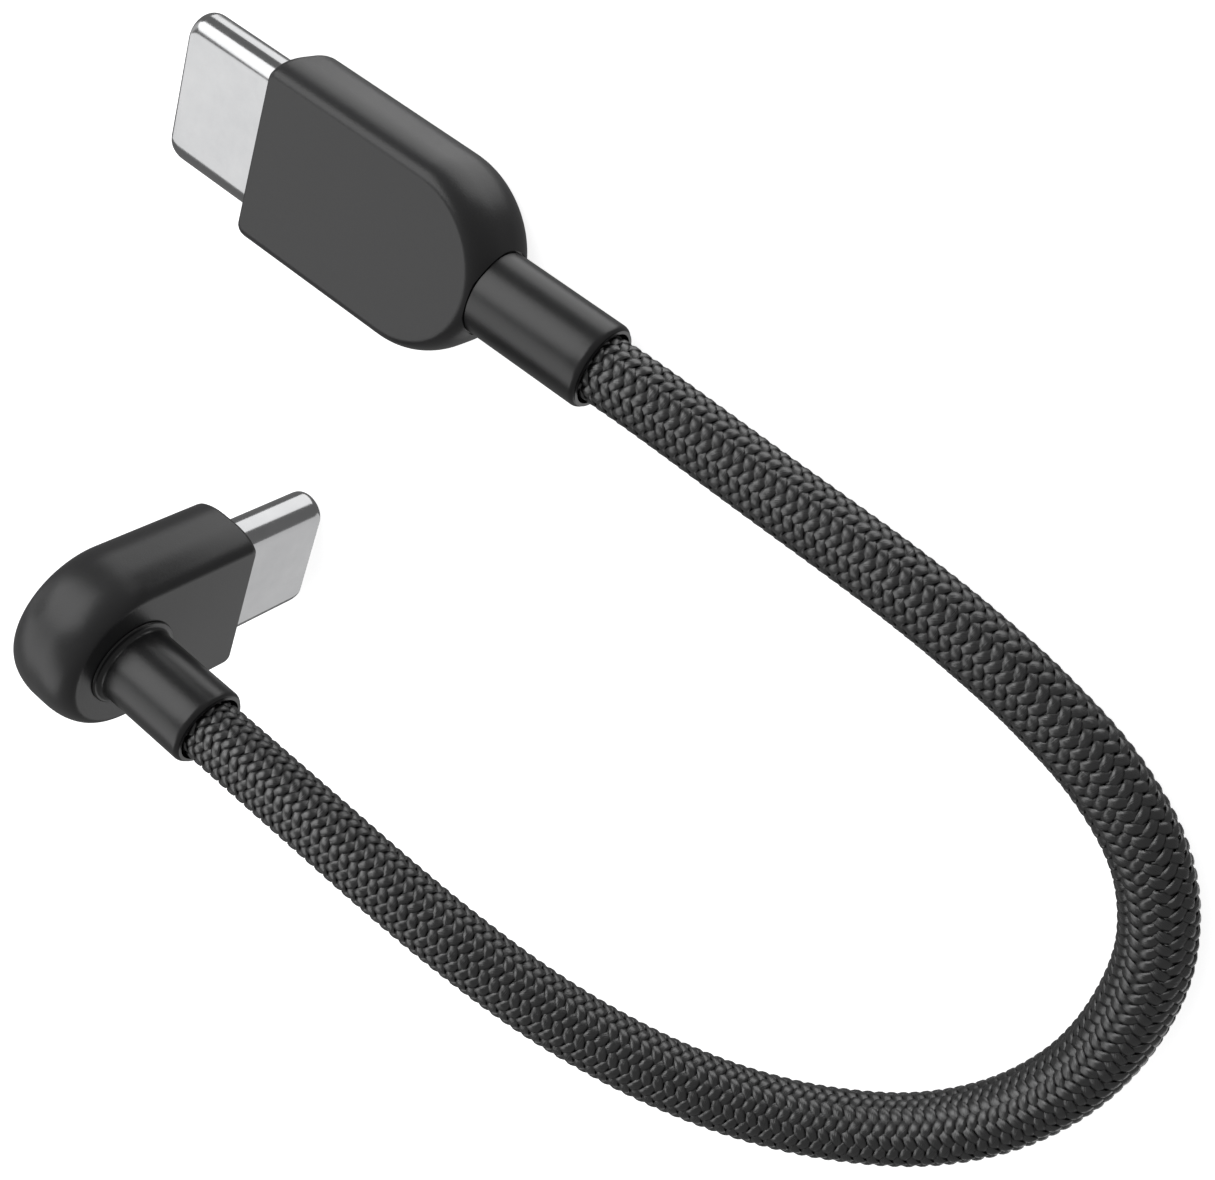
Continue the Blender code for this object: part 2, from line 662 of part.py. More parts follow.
def add_strain_relief(plug, relief_frame, material, length, root, collar):
    """The soft sleeve: a root in the housing, a straight barrel with a rounded mouth, and a stepped bore."""
    bore = CORD_RADIUS + CLEARANCE
    core_bore = CORE_RADIUS + CLEARANCE
    profile = [(-root, RELIEF_ROOT_RADIUS), (CLEARANCE, RELIEF_ROOT_RADIUS)]
    if collar:
        collar_radius = RELIEF_RADIUS + COLLAR_WIDTH
        profile += [(CLEARANCE, collar_radius), (COLLAR_HEIGHT, collar_radius)]
        profile += [(COLLAR_HEIGHT, RELIEF_RADIUS)]
    else:
        profile += [(CLEARANCE, RELIEF_RADIUS)]
    profile += lip_arc(length, RELIEF_RADIUS, RELIEF_LIP)
    profile += [(length, bore), (RELIEF_STOP, bore), (RELIEF_STOP, core_bore), (-root, core_bore)]
    mesh = turned(f"{plug}_relief", profile, FINE_STEPS)
    add_object(f"{plug}_strain_relief", mesh, relief_frame, material)


def add_cord_end(plug, relief_frame, material, length, core_reach):
    """The cord's end inside the plug: full width in the sleeve's bore, stripped to its core behind."""
    profile = [
        (-core_reach, CORE_RADIUS),
        (RELIEF_STOP + CLEARANCE, CORE_RADIUS),
        (RELIEF_STOP + CLEARANCE, CORD_RADIUS),
        (length - CLEARANCE, CORD_RADIUS),
    ]
    mesh = turned(f"{plug}_cord_end", profile, FINE_STEPS, closed=False)
    add_object(f"{plug}_cord_end", mesh, relief_frame, material)


def add_ferrule(plug, relief_frame, material, root, ferrule_length):
    """The crimped ring that grips the cord's core just behind the strain relief's root."""
    near = -root - CLEARANCE
    far = near - ferrule_length
    inner = CORE_RADIUS + CLEARANCE
    outer = inner + FERRULE_WALL
    mesh = turned(f"{plug}_ferrule", [(far, outer), (near, outer), (near, inner), (far, inner)], FINE_STEPS)
    add_object(f"{plug}_crimp_ferrule", mesh, relief_frame, material)


def smooth_route(points, per_stretch):
    """A smooth curve through the points: a Catmull-Rom spline, with per_stretch steps between two points."""
    padded = [2 * points[0] - points[1], *points, 2 * points[-1] - points[-2]]
    curve = []
    for p0, p1, p2, p3 in zip(padded, padded[1:], padded[2:], padded[3:]):
        for step in range(per_stretch):
            t = step / per_stretch
            curve.append(
                0.5
                * (
                    2 * p1
                    + (p2 - p0) * t
                    + (2 * p0 - 5 * p1 + 4 * p2 - p3) * t**2
                    + (3 * p1 - p0 - 3 * p2 + p3) * t**3
                )
            )
    curve.append(points[-1])
    return curve


def evenly_spaced(curve, spacing, trim):
    """Points along the curve about spacing apart, leaving trim free at both ends."""
    lengths = [0.0]
    for a, b in zip(curve, curve[1:]):
        lengths.append(lengths[-1] + (b - a).length)
    usable = lengths[-1] - 2 * trim
    count = round(usable / spacing)
    points = []
    k = 0
    for i in range(count + 1):
        target = trim + usable * i / count
        while k < len(lengths) - 2 and lengths[k + 1] < target:
            k += 1
        share = (target - lengths[k]) / (lengths[k + 1] - lengths[k])
        points.append(curve[k].lerp(curve[k + 1], share))
    return points


def add_tube(name, points, radius, resolution, frame, material):
    """A plain round tube with filled ends along the points."""
    curve = bpy.data.curves.new(name, "CURVE")
    curve.dimensions = "3D"
    curve.bevel_depth = radius
    curve.bevel_resolution = resolution
    curve.use_fill_caps = True
    spline = curve.splines.new("POLY")
    spline.points.add(len(points) - 1)
    for spline_point, point in zip(spline.points, points):
        spline_point.co = (*point, 1)
    return add_object(name, curve, frame, material)


WIRES = ("power", "control", "data", "ground")


def add_straight_wires(plug, frame, materials, core_end, board_back):
    """Two wires to the board's upper pads and two to its lower pads."""
    pad_x = board_back - 1.0 * MM
    pad_height = BOARD_THICKNESS / 2 + CLEARANCE + WIRE_RADIUS
    for i, wire in enumerate(WIRES):
        y_side = 1 if i % 2 else -1
        z_side = 1 if i < 2 else -1
        start = core_end - 2 * CLEARANCE
        route = [
            Vector((start, y_side * WIRE_PITCH / 2, z_side * WIRE_PITCH / 2)),
            Vector((start - 0.6 * MM, y_side * WIRE_PITCH / 2, z_side * WIRE_PITCH / 2)),
            Vector((pad_x + 0.7 * MM, y_side * PAD_PITCH, z_side * pad_height)),
            Vector((pad_x, y_side * PAD_PITCH, z_side * pad_height)),
        ]
        curve = smooth_route(route, 4)
        add_tube(f"{plug}_wire_{wire}", curve, WIRE_RADIUS, 2, frame, materials[wire])


def add_angled_wires(plug, frame, materials, core_end, board_back):
    """Four wires side by side, bent under the board to pads on its lower face."""
    pad_z = -BOARD_THICKNESS / 2 - CLEARANCE - WIRE_RADIUS
    for i, wire in enumerate(WIRES):
        place = i - (len(WIRES) - 1) / 2
        route = [
            Vector((ANGLED_CORD_SETBACK, place * WIRE_PITCH, core_end - 2 * CLEARANCE)),
            Vector((ANGLED_CORD_SETBACK - 0.1 * MM, place * WIRE_PITCH, core_end - 0.5 * MM)),
            Vector((ANGLED_CORD_SETBACK - 0.8 * MM, place * WIRE_PITCH * 1.2, pad_z + 0.1 * MM)),
            Vector((board_back + 0.2 * MM, place * WIRE_PITCH * 1.7, pad_z)),
            Vector((board_back - 0.7 * MM, place * PAD_PITCH, pad_z)),
        ]
        curve = smooth_route(route, 4)
        add_tube(f"{plug}_wire_{wire}", curve, WIRE_RADIUS, 2, frame, materials[wire])


# The two plugs and the cord


def add_frame(name, location, rotation=(0, 0, 0), parent=None):
    frame = bpy.data.objects.new(name, None)
    frame.location = location
    frame.rotation_euler = rotation
    frame.parent = parent
    bpy.context.scene.collection.objects.link(frame)
    return frame


def add_plug_front(plug, frame, materials):
    """What both plugs share in front of the board."""
    add_shell(plug, frame, materials["shell"])
    add_carrier(plug, frame, materials["carrier"])
    add_contacts(plug, frame, materials["contact"])
    add_latch(plug, frame, materials["spring"])
    add_ground_springs(plug, frame, materials["spring"])


def add_straight_plug(materials, mouth):
    """The cord leaves this plug's round end, in line with the shell."""
    plug = "straight"
    seat = STRAIGHT_LENGTH - SEAT_DEPTH
    frame = add_frame("straight_frame", mouth - Vector((seat + STRAIGHT_RELIEF_LENGTH, 0, 0)))
    relief_frame = add_frame("straight_relief_frame", (seat, 0, 0), parent=frame)
    crimp_reach = STRAIGHT_ROOT_LENGTH + CLEARANCE + STRAIGHT_FERRULE_LENGTH
    core_reach = crimp_reach + CORE_PROUD
    shield_back = seat - crimp_reach - STRAIGHT_CRIMP_ROOM
    board_back = shield_back - STRAIGHT_BOARD_TO_SHIELD
    add_plug_front(plug, frame, materials)
    add_board(plug, frame, materials["board"], board_back)
    add_chip(plug, frame, materials["chip"], board_back)
    add_shields(plug, frame, materials["shield"], shield_back, STRAIGHT_SHIELD_CORNER, "back")
    add_inner_mould(
        plug,
        frame,
        materials["mould"],
        STRAIGHT_LENGTH,
        STRAIGHT_BACK_WALL,
        "back",
        shield_back,
        STRAIGHT_SHIELD_CORNER,
    )
    add_housing(
        plug, frame, materials["housing"], STRAIGHT_LENGTH, STRAIGHT_BACK_WALL, "back", shield_back
    )
    add_strain_relief(
        plug, relief_frame, materials["relief"], STRAIGHT_RELIEF_LENGTH, STRAIGHT_ROOT_LENGTH, False
    )
    add_cord_end(plug, relief_frame, materials["braid"], STRAIGHT_RELIEF_LENGTH, core_reach)
    add_ferrule(plug, relief_frame, materials["ferrule"], STRAIGHT_ROOT_LENGTH, STRAIGHT_FERRULE_LENGTH)
    add_straight_wires(plug, frame, materials, seat - core_reach, board_back)


def add_angled_plug(materials, mouth):
    """The cord leaves this plug square to its broad face, and the shell points down."""
    plug = "angled"
    half_thickness = HOUSING_THICKNESS / 2
    drop = Vector((half_thickness + ANGLED_RELIEF_LENGTH, 0, ANGLED_CORD_SETBACK))
    shell_down = (0, -math.pi / 2, math.pi)
    frame = add_frame("angled_frame", mouth - drop, shell_down)
    relief_place = (ANGLED_CORD_SETBACK, 0, half_thickness)
    relief_frame = add_frame("angled_relief_frame", relief_place, ALONG_Z, frame)
    core_reach = ANGLED_ROOT_LENGTH + ANGLED_FERRULE_LENGTH + CLEARANCE + CORE_PROUD
    shield_corner = SHIELD_HALF_WIDTH
    shield_back = ANGLED_LENGTH - HOUSING_WIDTH / 2 + SHIELD_HALF_WIDTH
    board_back = ANGLED_CORD_SETBACK - ANGLED_BOARD_TO_CORD
    add_plug_front(plug, frame, materials)
    add_board(plug, frame, materials["board"], board_back)
    add_shields(plug, frame, materials["shield"], shield_back, shield_corner, "side")
    add_inner_mould(
        plug,
        frame,
        materials["mould"],
        ANGLED_LENGTH,
        ANGLED_BACK_WALL,
        "side",
        shield_back,
        shield_corner,
    )
    add_housing(
        plug, frame, materials["housing"], ANGLED_LENGTH, ANGLED_BACK_WALL, "side", shield_back
    )
    add_strain_relief(
        plug, relief_frame, materials["relief"], ANGLED_RELIEF_LENGTH, ANGLED_ROOT_LENGTH, True
    )
    add_cord_end(plug, relief_frame, materials["braid"], ANGLED_RELIEF_LENGTH, core_reach)
    add_ferrule(plug, relief_frame, materials["ferrule"], ANGLED_ROOT_LENGTH, ANGLED_FERRULE_LENGTH)
    add_angled_wires(plug, frame, materials, half_thickness - core_reach, board_back)


def all_materials():
    return {
        "shell": make_material("nickel_plated_steel", (0.62, 0.63, 0.65), 0.22, 1.0),
        "carrier": make_material("black_contact_carrier", (0.015, 0.015, 0.016), 0.45),
        "contact": make_material("gold_plated_contact", (0.83, 0.61, 0.25), 0.25, 1.0),
        "spring": make_material("spring_steel", (0.55, 0.55, 0.56), 0.30, 1.0),
        "board": make_material("circuit_board", (0.02, 0.10, 0.05), 0.45),
        "chip": make_material("chip_package", (0.02, 0.02, 0.022), 0.50),
        "shield": make_material("shield_sheet", (0.60, 0.60, 0.58), 0.35, 1.0),
        "mould": make_material("inner_mould", (0.05, 0.05, 0.055), 0.60),
        "housing": make_material("housing_plastic", (0.055, 0.055, 0.057), 0.55),
        "relief": make_material("strain_relief_rubber", (0.035, 0.035, 0.037), 0.60),
        "ferrule": make_material("ferrule_brass", (0.72, 0.60, 0.33), 0.35, 1.0),
        "braid": make_material("braided_sleeve", (0.03, 0.03, 0.032), 0.75),
        "power": make_material("wire_red", (0.55, 0.03, 0.03), 0.50),
        "control": make_material("wire_blue", (0.04, 0.12, 0.45), 0.50),
        "data": make_material("wire_white", (0.75, 0.75, 0.73), 0.50),
        "ground": make_material("wire_black", (0.02, 0.02, 0.02), 0.50),
    }


def main():
    clear_scene()
    materials = all_materials()
    route = [Vector(point) * MM for point in CORD_ROUTE_MM]
    add_straight_plug(materials, route[0])
    add_angled_plug(materials, route[-1])
    cord = evenly_spaced(smooth_route(route, 12), CORD_POINT_SPACING, CORD_GAP)
    add_tube("braided_cord", cord, CORD_RADIUS, 2, None, materials["braid"])


main()
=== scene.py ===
import math

import bmesh
import bpy
import numpy as np
from mathutils import Euler, Matrix, Quaternion, Vector


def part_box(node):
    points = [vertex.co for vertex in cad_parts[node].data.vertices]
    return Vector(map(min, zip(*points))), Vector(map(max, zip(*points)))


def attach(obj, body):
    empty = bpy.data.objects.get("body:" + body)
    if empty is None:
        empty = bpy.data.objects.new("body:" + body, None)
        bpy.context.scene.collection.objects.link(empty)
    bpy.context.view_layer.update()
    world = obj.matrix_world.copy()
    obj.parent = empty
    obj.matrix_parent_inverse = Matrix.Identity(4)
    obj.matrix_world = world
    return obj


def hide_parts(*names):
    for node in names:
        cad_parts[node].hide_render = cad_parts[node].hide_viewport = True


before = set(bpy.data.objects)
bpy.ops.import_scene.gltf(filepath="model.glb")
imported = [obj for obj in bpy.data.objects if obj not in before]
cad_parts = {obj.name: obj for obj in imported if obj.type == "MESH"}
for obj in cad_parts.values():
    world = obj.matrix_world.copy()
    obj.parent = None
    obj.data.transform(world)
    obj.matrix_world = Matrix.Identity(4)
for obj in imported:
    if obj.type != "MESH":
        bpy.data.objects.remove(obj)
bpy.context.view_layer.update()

MM = 0.001


# The view and the studio. A close camera looks down on the two plugs, turned about its own axis so
# that the cord's bend points to the right. Everything stands on a pale translucent table: soft
# panels hang round it, and others glow up through it, so glossy surfaces look past the table top.

CAMERA_PLACE = Vector((40.33, 45.75, 58.89)) * MM
CAMERA_TARGET = Vector((17.2, -1.86, -2.03)) * MM
CAMERA_ROLL = math.radians(-122.8)
CAMERA_LENS = 43.9
STAGE_MIDDLE = Vector((5, 0, 6)) * MM
TABLE_SIZE = 3.0
TABLE_GLOW = 0.85
ROOM_GREY = 0.20
WALL_GREY = 0.90
PANEL_DISTANCE = 0.30
NEAREST_SEEN = 1 * MM


def link_object(name, data):
    obj = bpy.data.objects.new(name, data)
    bpy.context.scene.collection.objects.link(obj)
    return obj


def turn_towards(obj, target):
    obj.rotation_mode = "QUATERNION"
    obj.rotation_quaternion = (target - obj.location).to_track_quat("-Z", "Y")


def soft_panel(name, direction, width, height, radiance):
    """A light whose surface has the given radiance, facing the middle of the stage."""
    panel = bpy.data.lights.new(name, "AREA")
    panel.shape = "RECTANGLE"
    panel.size = width
    panel.size_y = height
    panel.energy = radiance * math.pi * width * height
    obj = link_object(name, panel)
    obj.location = STAGE_MIDDLE + Vector(direction).normalized() * PANEL_DISTANCE
    turn_towards(obj, STAGE_MIDDLE)


camera_data = bpy.data.cameras.new("camera")
camera_data.lens = CAMERA_LENS
camera_data.clip_start = NEAREST_SEEN
camera = link_object("camera", camera_data)
camera.location = CAMERA_PLACE
turn_towards(camera, CAMERA_TARGET)
camera.rotation_quaternion = camera.rotation_quaternion @ Quaternion((0, 0, 1), CAMERA_ROLL)
bpy.context.scene.camera = camera
bpy.context.scene.view_settings.view_transform = "Standard"

soft_panel("key", (-0.50, 0.56, 0.66), 0.24, 0.27, 1.9)
soft_panel("front", (-0.42, -0.45, 0.79), 0.34, 0.20, 1.15)
soft_panel("left", (-0.93, 0.10, 0.36), 0.26, 0.16, 0.45)
soft_panel("under_back", (-0.24, 0.75, -0.61), 0.34, 0.24, 1.35)
soft_panel("under_right", (0.52, -0.55, -0.65), 0.26, 0.24, 0.65)

room = bpy.data.worlds.new("room")
room.use_nodes = True
seen_by = room.node_tree.nodes.new("ShaderNodeLightPath")
room_shade = room.node_tree.nodes.new("ShaderNodeMapRange")
room_shade.inputs["To Min"].default_value = ROOM_GREY
room_shade.inputs["To Max"].default_value = WALL_GREY
room.node_tree.links.new(seen_by.outputs["Is Camera Ray"], room_shade.inputs["Value"])
backdrop = room.node_tree.nodes["Background"]
room.node_tree.links.new(room_shade.outputs["Result"], backdrop.inputs["Color"])
bpy.context.scene.world = room

table_mesh = bpy.data.meshes.new("table_top")
table_grid = bmesh.new()
bmesh.ops.create_grid(table_grid, x_segments=1, y_segments=1, size=TABLE_SIZE / 2)
table_grid.to_mesh(table_mesh)
table_grid.free()
table_top = link_object("table_top", table_mesh)
table_finish = bpy.data.materials.new("pale_table")
table_finish.use_nodes = True
table_shader = table_finish.node_tree.nodes["Principled BSDF"]
table_shader.inputs["Base Color"].default_value = (0.84, 0.84, 0.85, 1)
table_shader.inputs["Roughness"].default_value = 0.6
table_shader.inputs["Emission Color"].default_value = (1, 1, 1, 1)
table_shader.inputs["Emission Strength"].default_value = TABLE_GLOW
table_mesh.materials.append(table_finish)
table_top.visible_glossy = False
table_top.visible_diffuse = False
table_top.visible_shadow = False


# The cord. A black core with a tight woven sleeve of two sets of yarns, one set winding each way
# and passing over and under the other at every crossing. The sleeve is made as real yarns round
# the cord's centreline. Both ends run on a little way into the bores of the strain reliefs.

CORD_ROUTE = [
    Vector(point) * MM
    for point in (
        (14.05, 12.0, 2.35),
        (16.5, 12.0, 2.3),
        (19.6, 11.8, 2.05),
        (23.0, 11.6, 1.85),
        (27.0, 11.5, 1.78),
        (31.0, 11.4, 1.78),
        (35.0, 11.1, 1.78),
        (39.0, 10.5, 1.78),
        (43.2, 9.3, 1.78),
        (46.8, 7.1, 1.78),
        (49.2, 3.7, 1.85),
        (50.3, -0.4, 2.05),
        (50.3, -4.6, 2.55),
        (49.0, -8.5, 3.5),
        (46.5, -11.5, 4.9),
        (43.1, -13.5, 6.5),
        (39.4, -14.5, 8.2),
        (35.5, -14.7, 9.9),
        (31.5, -14.5, 11.35),
        (27.5, -14.0, 12.55),
        (23.4, -13.3, 13.5),
        (19.3, -12.65, 14.15),
        (15.1, -12.2, 14.5),
        (10.8, -12.0, 14.65),
        (6.6, -12.0, 14.65),
    )
]
CORD_DIAMETER = 3.5 * MM
CORD_INSIDE = 2.5 * MM
CORE_RADIUS = 1.33 * MM
YARNS_EACH_WAY = 8
WEAVE_LEAD = 4.96 * MM
YARN_HALF_WIDTH = 0.26 * MM
YARN_HALF_THICKNESS = 0.085 * MM
YARN_SWING = 0.082 * MM
YARN_SIDES = 8
STEPS_PER_CROSSING = 4


def smooth_route(points, per_stretch=24):
    """A Catmull-Rom curve through the points, as an array of fine points."""
    route = np.array(points)
    padded = np.vstack([2 * route[0] - route[1], route, 2 * route[-1] - route[-2]])
    t = (np.arange(per_stretch) / per_stretch)[:, None]
    pieces = []
    for p0, p1, p2, p3 in zip(padded, padded[1:], padded[2:], padded[3:]):
        bend = 2 * p0 - 5 * p1 + 4 * p2 - p3
        twist = 3 * p1 - p0 - 3 * p2 + p3
        pieces.append(0.5 * (2 * p1 + (p2 - p0) * t + bend * t**2 + twist * t**3))
    return np.vstack([*pieces, route[-1:]])


def lengths_along(points):
    return np.concatenate([[0], np.cumsum(np.linalg.norm(np.diff(points, axis=0), axis=1))])


def unit(rows):
    return rows / np.linalg.norm(rows, axis=1, keepdims=True)


class Centreline:
    """The cord's middle line with a frame that doesn't twist, read at any distance along it."""

    def __init__(self, points):
        self.points = points
        self.at = lengths_along(points)
        self.tangents = unit(np.gradient(points, self.at, axis=0))
        sides = [np.cross(self.tangents[0], (0, 0, 1))]
        for tangent in self.tangents[1:]:
            side = sides[-1] - tangent * (sides[-1] @ tangent)
            sides.append(side / np.linalg.norm(side))
        self.sides = unit(np.array(sides))

    def read(self, s):
        s = np.asarray(s)
        rows = (self.points, self.tangents, self.sides)
        middle, tangent, side = (
            np.stack([np.interp(s, self.at, row[:, k]) for k in range(3)], axis=1) for row in rows
        )
        tangent = unit(tangent)
        side = unit(side - tangent * (side * tangent).sum(1, keepdims=True))
        return middle, tangent, side, np.cross(tangent, side)


def mesh_from_grid(name, grids):
    """One mesh of closed tubes: each grid is rows of points round a tube. UV: along in mm, and round."""
    verts, faces, uvs = [], [], []
    start = 0
    for grid in grids:
        rows, round_count = grid.shape[:2]
        index = start + np.arange(rows * round_count).reshape(rows, round_count)
        nxt = np.roll(index, -1, axis=1)
        quads = np.stack([index[:-1], nxt[:-1], nxt[1:], index[1:]], axis=-1).reshape(-1, 4)
        along = lengths_along(grid.mean(axis=1)) / MM
        around = np.arange(round_count) / round_count
        low = np.stack(np.meshgrid(along[:-1], around, indexing="ij"), axis=-1)
        step_along = np.diff(along)[:, None].repeat(round_count, 1)
        corner = np.stack([low] * 4, axis=2)
        corner[:, :, 1, 1] += 1 / round_count
        corner[:, :, 2, 1] += 1 / round_count
        corner[:, :, 2, 0] += step_along
        corner[:, :, 3, 0] += step_along
        verts.append(grid.reshape(-1, 3))
        faces.append(quads)
        uvs.append(corner.reshape(-1, 2))
        start += rows * round_count
    mesh = bpy.data.meshes.new(name)
    quads = np.vstack(faces)
    mesh.vertices.add(start)
    mesh.vertices.foreach_set("co", np.vstack(verts).astype(np.float32).ravel())
    mesh.loops.add(quads.size)
    mesh.loops.foreach_set("vertex_index", quads.astype(np.int32).ravel())
    mesh.polygons.add(len(quads))
    mesh.polygons.foreach_set("loop_start", np.arange(0, quads.size, 4, dtype=np.int32))
    layer = mesh.uv_layers.new(name="along_and_round")
    layer.data.foreach_set("uv", np.vstack(uvs).astype(np.float32).ravel())
    mesh.update()
    mesh.validate()
    close_tube_ends(mesh)
    mesh.shade_smooth()
    return mesh


def close_tube_ends(mesh):
    bm = bmesh.new()
    bm.from_mesh(mesh)
    open_edges = [edge for edge in bm.edges if edge.is_boundary]
    bmesh.ops.holes_fill(bm, edges=open_edges)
    bmesh.ops.recalc_face_normals(bm, faces=bm.faces)
    bm.to_mesh(mesh)
    bm.free()


def yarn_grid(line, hand, place, s):
    """Rows of points round one yarn. hand is 1 or -1, and place is the yarn's share of a full turn."""
    crossings = 2 * YARNS_EACH_WAY * s / WEAVE_LEAD
    turn = 2 * math.pi * (place + hand * s / WEAVE_LEAD)
    lift = hand * np.cos(math.pi * crossings)
    radius = CORD_DIAMETER / 2 - YARN_HALF_THICKNESS - YARN_SWING + YARN_SWING * lift
    middle, _, side, up = line.read(s)
    outward = side * np.cos(turn)[:, None] + up * np.sin(turn)[:, None]
    path = middle + outward * radius[:, None]
    along = unit(np.gradient(path, axis=0))
    across = unit(np.cross(along, outward))
    outward = np.cross(across, along)
    angles = 2 * math.pi * (np.arange(YARN_SIDES) + 0.5) / YARN_SIDES
    width = YARN_HALF_WIDTH * (1 + 0.06 * lift)
    ring = [
        path + across * (width * math.cos(a))[:, None] + outward * YARN_HALF_THICKNESS * math.sin(a)
        for a in angles
    ]
    return np.stack(ring, axis=1)


def round_tube_grid(line, s, radius, sides):
    middle, _, side, up = line.read(s)
    angles = 2 * math.pi * np.arange(sides) / sides
    ring = [middle + radius * (side * math.cos(a) + up * math.sin(a)) for a in angles]
    return np.stack(ring, axis=1)


free_route = smooth_route(CORD_ROUTE)
leave = Vector((1, 0, 0)) * CORD_INSIDE
whole_route = np.vstack([
    np.linspace(CORD_ROUTE[0] - leave, CORD_ROUTE[0], 12)[:-1],
    free_route,
    np.linspace(CORD_ROUTE[-1], CORD_ROUTE[-1] - leave, 12)[1:],
])
centreline = Centreline(whole_route)
whole_length = centreline.at[-1]
yarn_count = int(whole_length / (WEAVE_LEAD / (2 * YARNS_EACH_WAY)) * STEPS_PER_CROSSING)
yarn_steps = np.linspace(0, whole_length, yarn_count)

sleeve_yarns = {}
for label, hand in (("right", 1), ("left", -1)):
    places = [i / YARNS_EACH_WAY for i in range(YARNS_EACH_WAY)]
    grids = [yarn_grid(centreline, hand, place, yarn_steps) for place in places]
    name = f"sleeve_{label}_hand_yarns"
    sleeve_yarns[label] = link_object(name, mesh_from_grid(name, grids))

core_steps = np.linspace(0, whole_length, 260)
core_grid = round_tube_grid(centreline, core_steps, CORE_RADIUS, 24)
cord_core = link_object("cord_core", mesh_from_grid("cord_core", [core_grid]))


def make_node(tree, kind, inputs=None, **settings):
    """A node with its settings and its inputs' values; an input may be another node's output."""
    made = tree.nodes.new(kind)
    for key, value in settings.items():
        setattr(made, key, value)
    for key, value in (inputs or {}).items():
        if isinstance(value, bpy.types.NodeSocket):
            tree.links.new(value, made.inputs[key])
        else:
            made.inputs[key].default_value = value
    return made


def start_material(name):
    """A new material's tree and its Principled shader."""
    material = bpy.data.materials.new(name)
    material.use_nodes = True
    return material, material.node_tree, material.node_tree.nodes["Principled BSDF"]


def shader_values(shader, **values):
    for key, value in values.items():
        shader.inputs[key.replace("_", " ")].default_value = value


def colour_ramp(tree, factor, stops):
    ramp = make_node(tree, "ShaderNodeValToRGB", {"Fac": factor})
    elements = ramp.color_ramp.elements
    while len(elements) < len(stops):
        elements.new(0.5)
    for element, (position, colour) in zip(elements, stops):
        element.position = position
        element.color = (*colour, 1)
    return ramp.outputs["Color"]


def start_group(name, inputs, outputs):
    """An empty shader node group. inputs maps names to default numbers, outputs names to socket types."""
    group = bpy.data.node_groups.new(name, "ShaderNodeTree")
    for label, value in inputs.items():
        socket = group.interface.new_socket(label, in_out="INPUT", socket_type="NodeSocketFloat")
        socket.default_value = value
    for label, socket_type in outputs.items():
        group.interface.new_socket(label, in_out="OUTPUT", socket_type=socket_type)
    return group, group.nodes.new("NodeGroupInput"), group.nodes.new("NodeGroupOutput")


def place_group(tree, group, **values):
    made = make_node(tree, "ShaderNodeGroup", node_tree=group)
    for key, value in values.items():
        made.inputs[key.replace("_", " ")].default_value = value
    return made


def bump(tree, height, distance, strength=1.0, normal=None):
    inputs = {"Height": height, "Distance": distance, "Strength": strength}
    if normal:
        inputs["Normal"] = normal
    return make_node(tree, "ShaderNodeBump", inputs).outputs["Normal"]


def uneven_group():
    """Slow changes over a surface: handling marks, dust and small differences of shade."""
    group, given, result = start_group(
        "uneven_surface",
        {"Patch Size": 2.0, "Contrast": 1.0},
        {"Mask": "NodeSocketFloat", "Fine Mask": "NodeSocketFloat"},
    )
    place = make_node(group, "ShaderNodeTexCoord").outputs["Object"]
    scale = make_node(
        group,
        "ShaderNodeMath",
        {0: 1 / MM, 1: given.outputs["Patch Size"]},
        operation="DIVIDE",
    )
    noise = make_node(
        group,
        "ShaderNodeTexNoise",
        {"Vector": place, "Scale": scale.outputs[0], "Detail": 4.0, "Roughness": 0.6},
    )
    fine = make_node(
        group,
        "ShaderNodeTexNoise",
        {"Vector": place, "Scale": 9 / MM, "Detail": 3.0, "Roughness": 0.7},
    )
    centred = make_node(
        group, "ShaderNodeMath", {0: noise.outputs["Fac"], 1: 0.5}, operation="SUBTRACT"
    )
    spread = make_node(
        group,
        "ShaderNodeMath",
        {0: centred.outputs[0], 1: given.outputs["Contrast"], 2: 0.5},
        operation="MULTIPLY_ADD",
        use_clamp=True,
    )
    group.links.new(spread.outputs[0], result.inputs["Mask"])
    group.links.new(fine.outputs["Fac"], result.inputs["Fine Mask"])
    return group


uneven = uneven_group()


